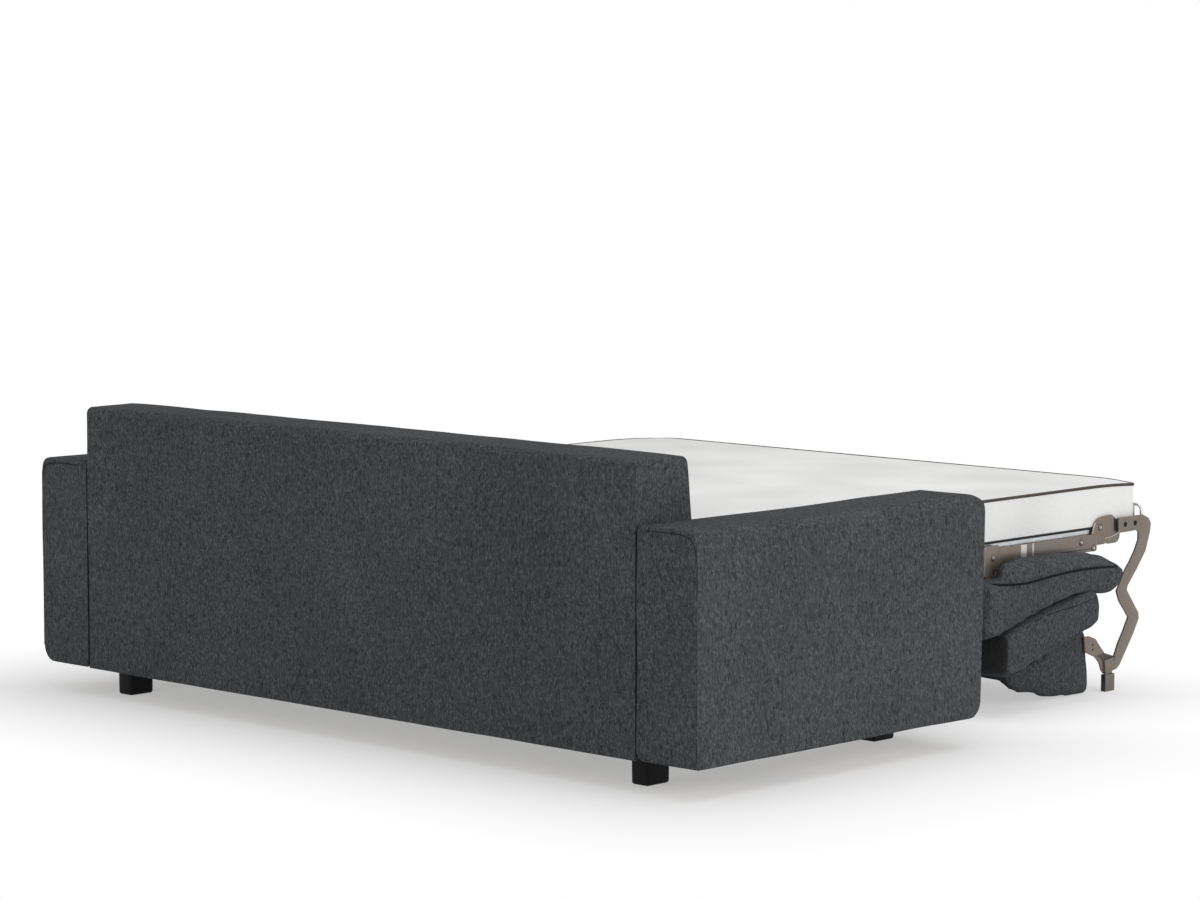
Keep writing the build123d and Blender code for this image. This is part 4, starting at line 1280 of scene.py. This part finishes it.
def rivet_places():
    """The low and high corner of each rivet's disc in the frame."""
    source = frame["nodes"]["rivets"].data
    mesh = bmesh.new()
    mesh.from_mesh(source)
    bmesh.ops.remove_doubles(mesh, verts=mesh.verts, dist=merge_distance)
    left = set(mesh.verts)
    places = []
    while left:
        stack = [left.pop()]
        island = []
        while stack:
            vertex = stack.pop()
            island.append(vertex.co.copy())
            for edge in vertex.link_edges:
                other = edge.other_vert(vertex)
                if other in left:
                    left.remove(other)
                    stack.append(other)
        low = [min(c[i] for c in island) for i in range(3)]
        high = [max(c[i] for c in island) for i in range(3)]
        places.append((low, high))
    mesh.free()
    return places


def domed_rivet(name, low, high):
    """Half a flattened ball on the plate."""
    clear_selection()
    outward = 1 if high[0] > 0 else -1
    base = low[0] if outward > 0 else high[0]
    centre = (base, (low[1] + high[1]) / 2, (low[2] + high[2]) / 2)
    bpy.ops.mesh.primitive_uv_sphere_add(segments=24, ring_count=12, radius=1, location=(0, 0, 0))
    piece = named(name)
    piece.scale = (high[0] - low[0], (high[1] - low[1]) / 2, (high[2] - low[2]) / 2)
    piece.location = centre
    settle(piece)
    return smooth(piece, 60)


def small_disc(name, f, z, x, radius, thickness, sign):
    """A thin round disc on the outer face of a plate."""
    clear_selection()
    bpy.ops.mesh.primitive_cylinder_add(vertices=32, radius=radius, depth=thickness,
                                        rotation=(0, math.pi / 2, 0),
                                        location=at(f, z, x + sign * thickness / 2))
    piece = named(name)
    settle(piece)
    return smooth(piece, 40)


for k, (low, high) in enumerate(sorted(rivet_places())):
    head = domed_rivet("rivet_head_" + str(k), low, high)
    place(head, bronze_steel, "foot_section", "bright_steel", ["rivets"])
    sign = 1 if high[0] > 0 else -1
    f, z = rear_y - (low[1] + high[1]) / 2, (low[2] + high[2]) / 2
    base = low[0] if sign > 0 else high[0]
    ring_radius = (high[2] - low[2]) / 2 + ring_margin
    ring = small_disc("rivet_ring_" + str(k), f, z, base, ring_radius, disc_thickness, sign)
    place(ring, dark_steel, "foot_section", "dark_steel")
    highlight_base = base + sign * (high[0] - low[0]) * highlight_share
    highlight_disc = small_disc("rivet_highlight_" + str(k), f, z, highlight_base, highlight_radius, disc_thickness, sign)
    place(highlight_disc, painted_highlight_steel, "foot_section", "bright_steel")
print("rivet heads", k + 1)

# %% [markdown]
# The two holes in the leg are dark inside, and a black disc over each paints that shade. A dark
# cord along the side bar is painted shade for its groove, a bright cord on the corner plate is a
# painted highlight on its folded edge, and a stub with a small turned flange joins the leg to its
# bracket; the flange has a darker bronze as painted shade. Plates come straight from their
# outlines, and the thin lines are cords half sunk in the steel.

# %% Make the hole shades, the groove, the fold and the stub
leg_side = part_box("leg_right")[1][0]
bar_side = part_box("side_bar_right")[1][0]
corner_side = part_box("corner_plate_right")[1][0]
leg_plate = 0.0060
flange_depth = 0.0016
hole_shade_radius = 0.0070
hole_shade_thickness = 0.0008
sunk = 0.0004
groove_radius = 0.0011
crease_radius = 0.0008
hole_shade_places = ((2.020, 0.447), (2.065, 0.447))
groove_places = ((1.66, 0.3945), (1.78, 0.3935), (1.885, 0.3925))
flange_outline = ((1.906, 0.099), (1.940, 0.104), (1.984, 0.091), (1.935, 0.085))
stub_outline = ((1.935, 0.085), (1.984, 0.091), (1.966, 0.077), (1.940, 0.0478))
crease_places = ((1.930, 0.4165), (1.955, 0.4185), (1.978, 0.423), (1.993, 0.4295))


def flat_piece(name, outline, x0, x1):
    """A flat plate between two places across, from its outline."""
    mesh = bmesh.new()
    near = [mesh.verts.new(at(f, z, x0)) for f, z in outline]
    far = [mesh.verts.new(at(f, z, x1)) for f, z in outline]
    mesh.faces.new(near)
    mesh.faces.new(far)
    for k in range(len(outline)):
        n = (k + 1) % len(outline)
        mesh.faces.new((near[k], near[n], far[n], far[k]))
    bmesh.ops.recalc_face_normals(mesh, faces=mesh.faces)
    data = bpy.data.meshes.new(name)
    mesh.to_mesh(data)
    mesh.free()
    piece = bpy.data.objects.new(name, data)
    bpy.context.scene.collection.objects.link(piece)
    return piece


for side, sign in (("left", -1), ("right", 1)):
    for k, (f, z) in enumerate(hole_shade_places):
        hole_shade_disc = small_disc("leg_plug_" + side + "_" + str(k), f, z, sign * (leg_side - sunk), hole_shade_radius,
                          hole_shade_thickness, sign)
        place(hole_shade_disc, black_plastic, "legs", "black_plastic")
    groove_points = [at(f, z, sign * (bar_side - sunk)) for f, z in groove_places]
    groove = cord_along("bar_groove_shade_" + side, groove_points, groove_radius)
    place(groove, dark_steel, "foot_section", "dark_steel")
    crease_points = [at(f, z, sign * corner_side) for f, z in crease_places]
    crease = cord_along("corner_crease_highlight_" + side, crease_points, crease_radius)
    place(crease, painted_highlight_steel, "foot_section", "frame_steel")
    inner_side = leg_side - leg_plate
    flange = flat_piece("foot_flange_" + side, flange_outline, sign * inner_side,
                        sign * (inner_side + flange_depth))
    place(flange, painted_shade_bronze, "legs", "frame_steel")
    stub = flat_piece("leg_stub_" + side, stub_outline, sign * inner_side, sign * leg_side)
    place(stub, bronze_steel, "legs", "frame_steel")
print("plugs, grooves, folds and stubs made")

# %% [markdown]
# ## Stage, light and camera
#
# The photo was taken in a white studio with very even light. A pale floor holds the shadow, and a
# painted glow on it, seen by the camera and in reflections, lightens that shadow near the sofa and
# grows to white less than a metre away from it. A large soft lamp hangs above, one fills from the
# side and a weak one from behind.

# %% Stage and lights
def away_from(tree, where, middle, half):
    """The distance on the floor from a rectangle."""
    moved = node(tree, "ShaderNodeVectorMath", {0: where, 1: middle}, operation="SUBTRACT").outputs[0]
    sized = node(tree, "ShaderNodeVectorMath", {0: moved}, operation="ABSOLUTE").outputs[0]
    beyond = node(tree, "ShaderNodeVectorMath", {0: sized, 1: half}, operation="SUBTRACT").outputs[0]
    outside = node(tree, "ShaderNodeVectorMath", {0: beyond, 1: (0, 0, 0)}, operation="MAXIMUM").outputs[0]
    return node(tree, "ShaderNodeVectorMath", {0: outside}, operation="LENGTH").outputs["Value"]


# painted glow on the floor, low below the sofa and below the folded cushions: middle, half size, reach of the
# fade, least glow
floor_shadows = (((0, 0.54, 0), (1.2, 0.53, 9), 0.62, 0.38),
                 ((0, -0.60, 0), (0.95, 0.24, 9), 0.45, 0.47))
floor_size = 60
floor_drop = 0.0005


def studio_floor():
    """A pale floor with a painted glow: low near the sofa, where it lightens the shadow, white further out.
    """
    clear_selection()
    bpy.ops.mesh.primitive_plane_add(size=floor_size, location=(0, 0, -floor_drop))
    floor = named("studio_floor")
    made = bpy.data.materials.new("studio_white_painted_glow")
    made.use_nodes = True
    tree = made.node_tree
    base = tree.nodes["Principled BSDF"]
    base.inputs["Base Color"].default_value = (0.86, 0.86, 0.86, 1)
    base.inputs["Roughness"].default_value = 0.9
    base.inputs["Specular IOR Level"].default_value = 0.1
    painted_glow = node(tree, "ShaderNodeEmission", {"Color": (1, 1, 1, 1), "Strength": 1.0})
    where = node(tree, "ShaderNodeTexCoord").outputs["Object"]
    fades = [stretch(tree, 0.0, reach, away_from(tree, where, middle, half), least, 1.0)
             for middle, half, reach, least in floor_shadows]
    fade = math_node(tree, "MINIMUM", *fades)
    rays = node(tree, "ShaderNodeLightPath").outputs
    seen = math_node(tree, "MAXIMUM", rays["Is Camera Ray"], rays["Is Glossy Ray"])
    amount = math_node(tree, "MULTIPLY", fade, seen)
    mixed = node(tree, "ShaderNodeMixShader", {0: amount, 1: base.outputs[0], 2: painted_glow.outputs[0]})
    tree.links.new(mixed.outputs[0], tree.nodes["Material Output"].inputs["Surface"])
    floor.data.materials.append(made)


def studio_world():
    """White surroundings that show in the metal, with a plain level of light."""
    world = bpy.data.worlds.new("studio")
    world.use_nodes = True
    bpy.context.scene.world = world
    tree = world.node_tree
    plain = tree.nodes["Background"]
    plain.inputs["Color"].default_value = (1, 1, 1, 1)
    plain.inputs["Strength"].default_value = 0.60
    shown = node(tree, "ShaderNodeBackground", {"Color": (1, 1, 1, 1), "Strength": 1.0})
    rays = node(tree, "ShaderNodeLightPath").outputs
    seen = math_node(tree, "MAXIMUM", rays["Is Camera Ray"], rays["Is Glossy Ray"])
    seen = math_node(tree, "MAXIMUM", seen, rays["Is Transmission Ray"])
    mixed = node(tree, "ShaderNodeMixShader", {0: seen, 1: plain.outputs[0], 2: shown.outputs[0]})
    tree.links.new(mixed.outputs[0], tree.nodes["World Output"].inputs["Surface"])


def soft_lamp(name, location, target, size, watts):
    """A large square lamp that faces a point."""
    clear_selection()
    bpy.ops.object.light_add(type="AREA", location=location)
    lamp = bpy.context.object
    lamp.name = name
    lamp.data.size = size
    lamp.data.energy = watts
    lamp.rotation_euler = (Vector(target) - Vector(location)).to_track_quat("-Z", "Y").to_euler()


studio_floor()
studio_world()
soft_lamp("overhead_softbox", (-0.9, -0.6, 4.4), (0, -0.3, 0.3), 4.5, 60)
soft_lamp("side_softbox", (-5.4, 0.2, 1.7), (-0.5, 0.0, 0.35), 3.0, 74)
soft_lamp("rear_softbox", (1.5, 5.6, 2.4), (0.2, 0.6, 0.4), 3.0, 26)

# %% [markdown]
# ## Camera
#
# The camera stands well behind the sofa and to one side, at standing eye height, with a long
# lens. Its place and turn were worked out from the corners of the sofa in the photo.

# %% Camera at the photo's viewing angle
camera_lens = 118.76
camera_sensor = 36.0
camera_turn = 136.1637
camera_down = 5.8018
camera_place = (-6.6166, 1.7268, -7.244)
clear_selection()
bpy.ops.object.camera_add(location=at(*camera_place))
camera = bpy.context.object
camera.name = "photo_camera"
camera.data.lens = camera_lens
camera.data.sensor_width = camera_sensor
camera.data.sensor_fit = "HORIZONTAL"
camera.data.clip_end = 200.0
camera.rotation_euler = (math.radians(90 - camera_down), 0, math.radians(-camera_turn))
bpy.context.scene.camera = camera
bpy.context.scene.view_settings.view_transform = "Standard"
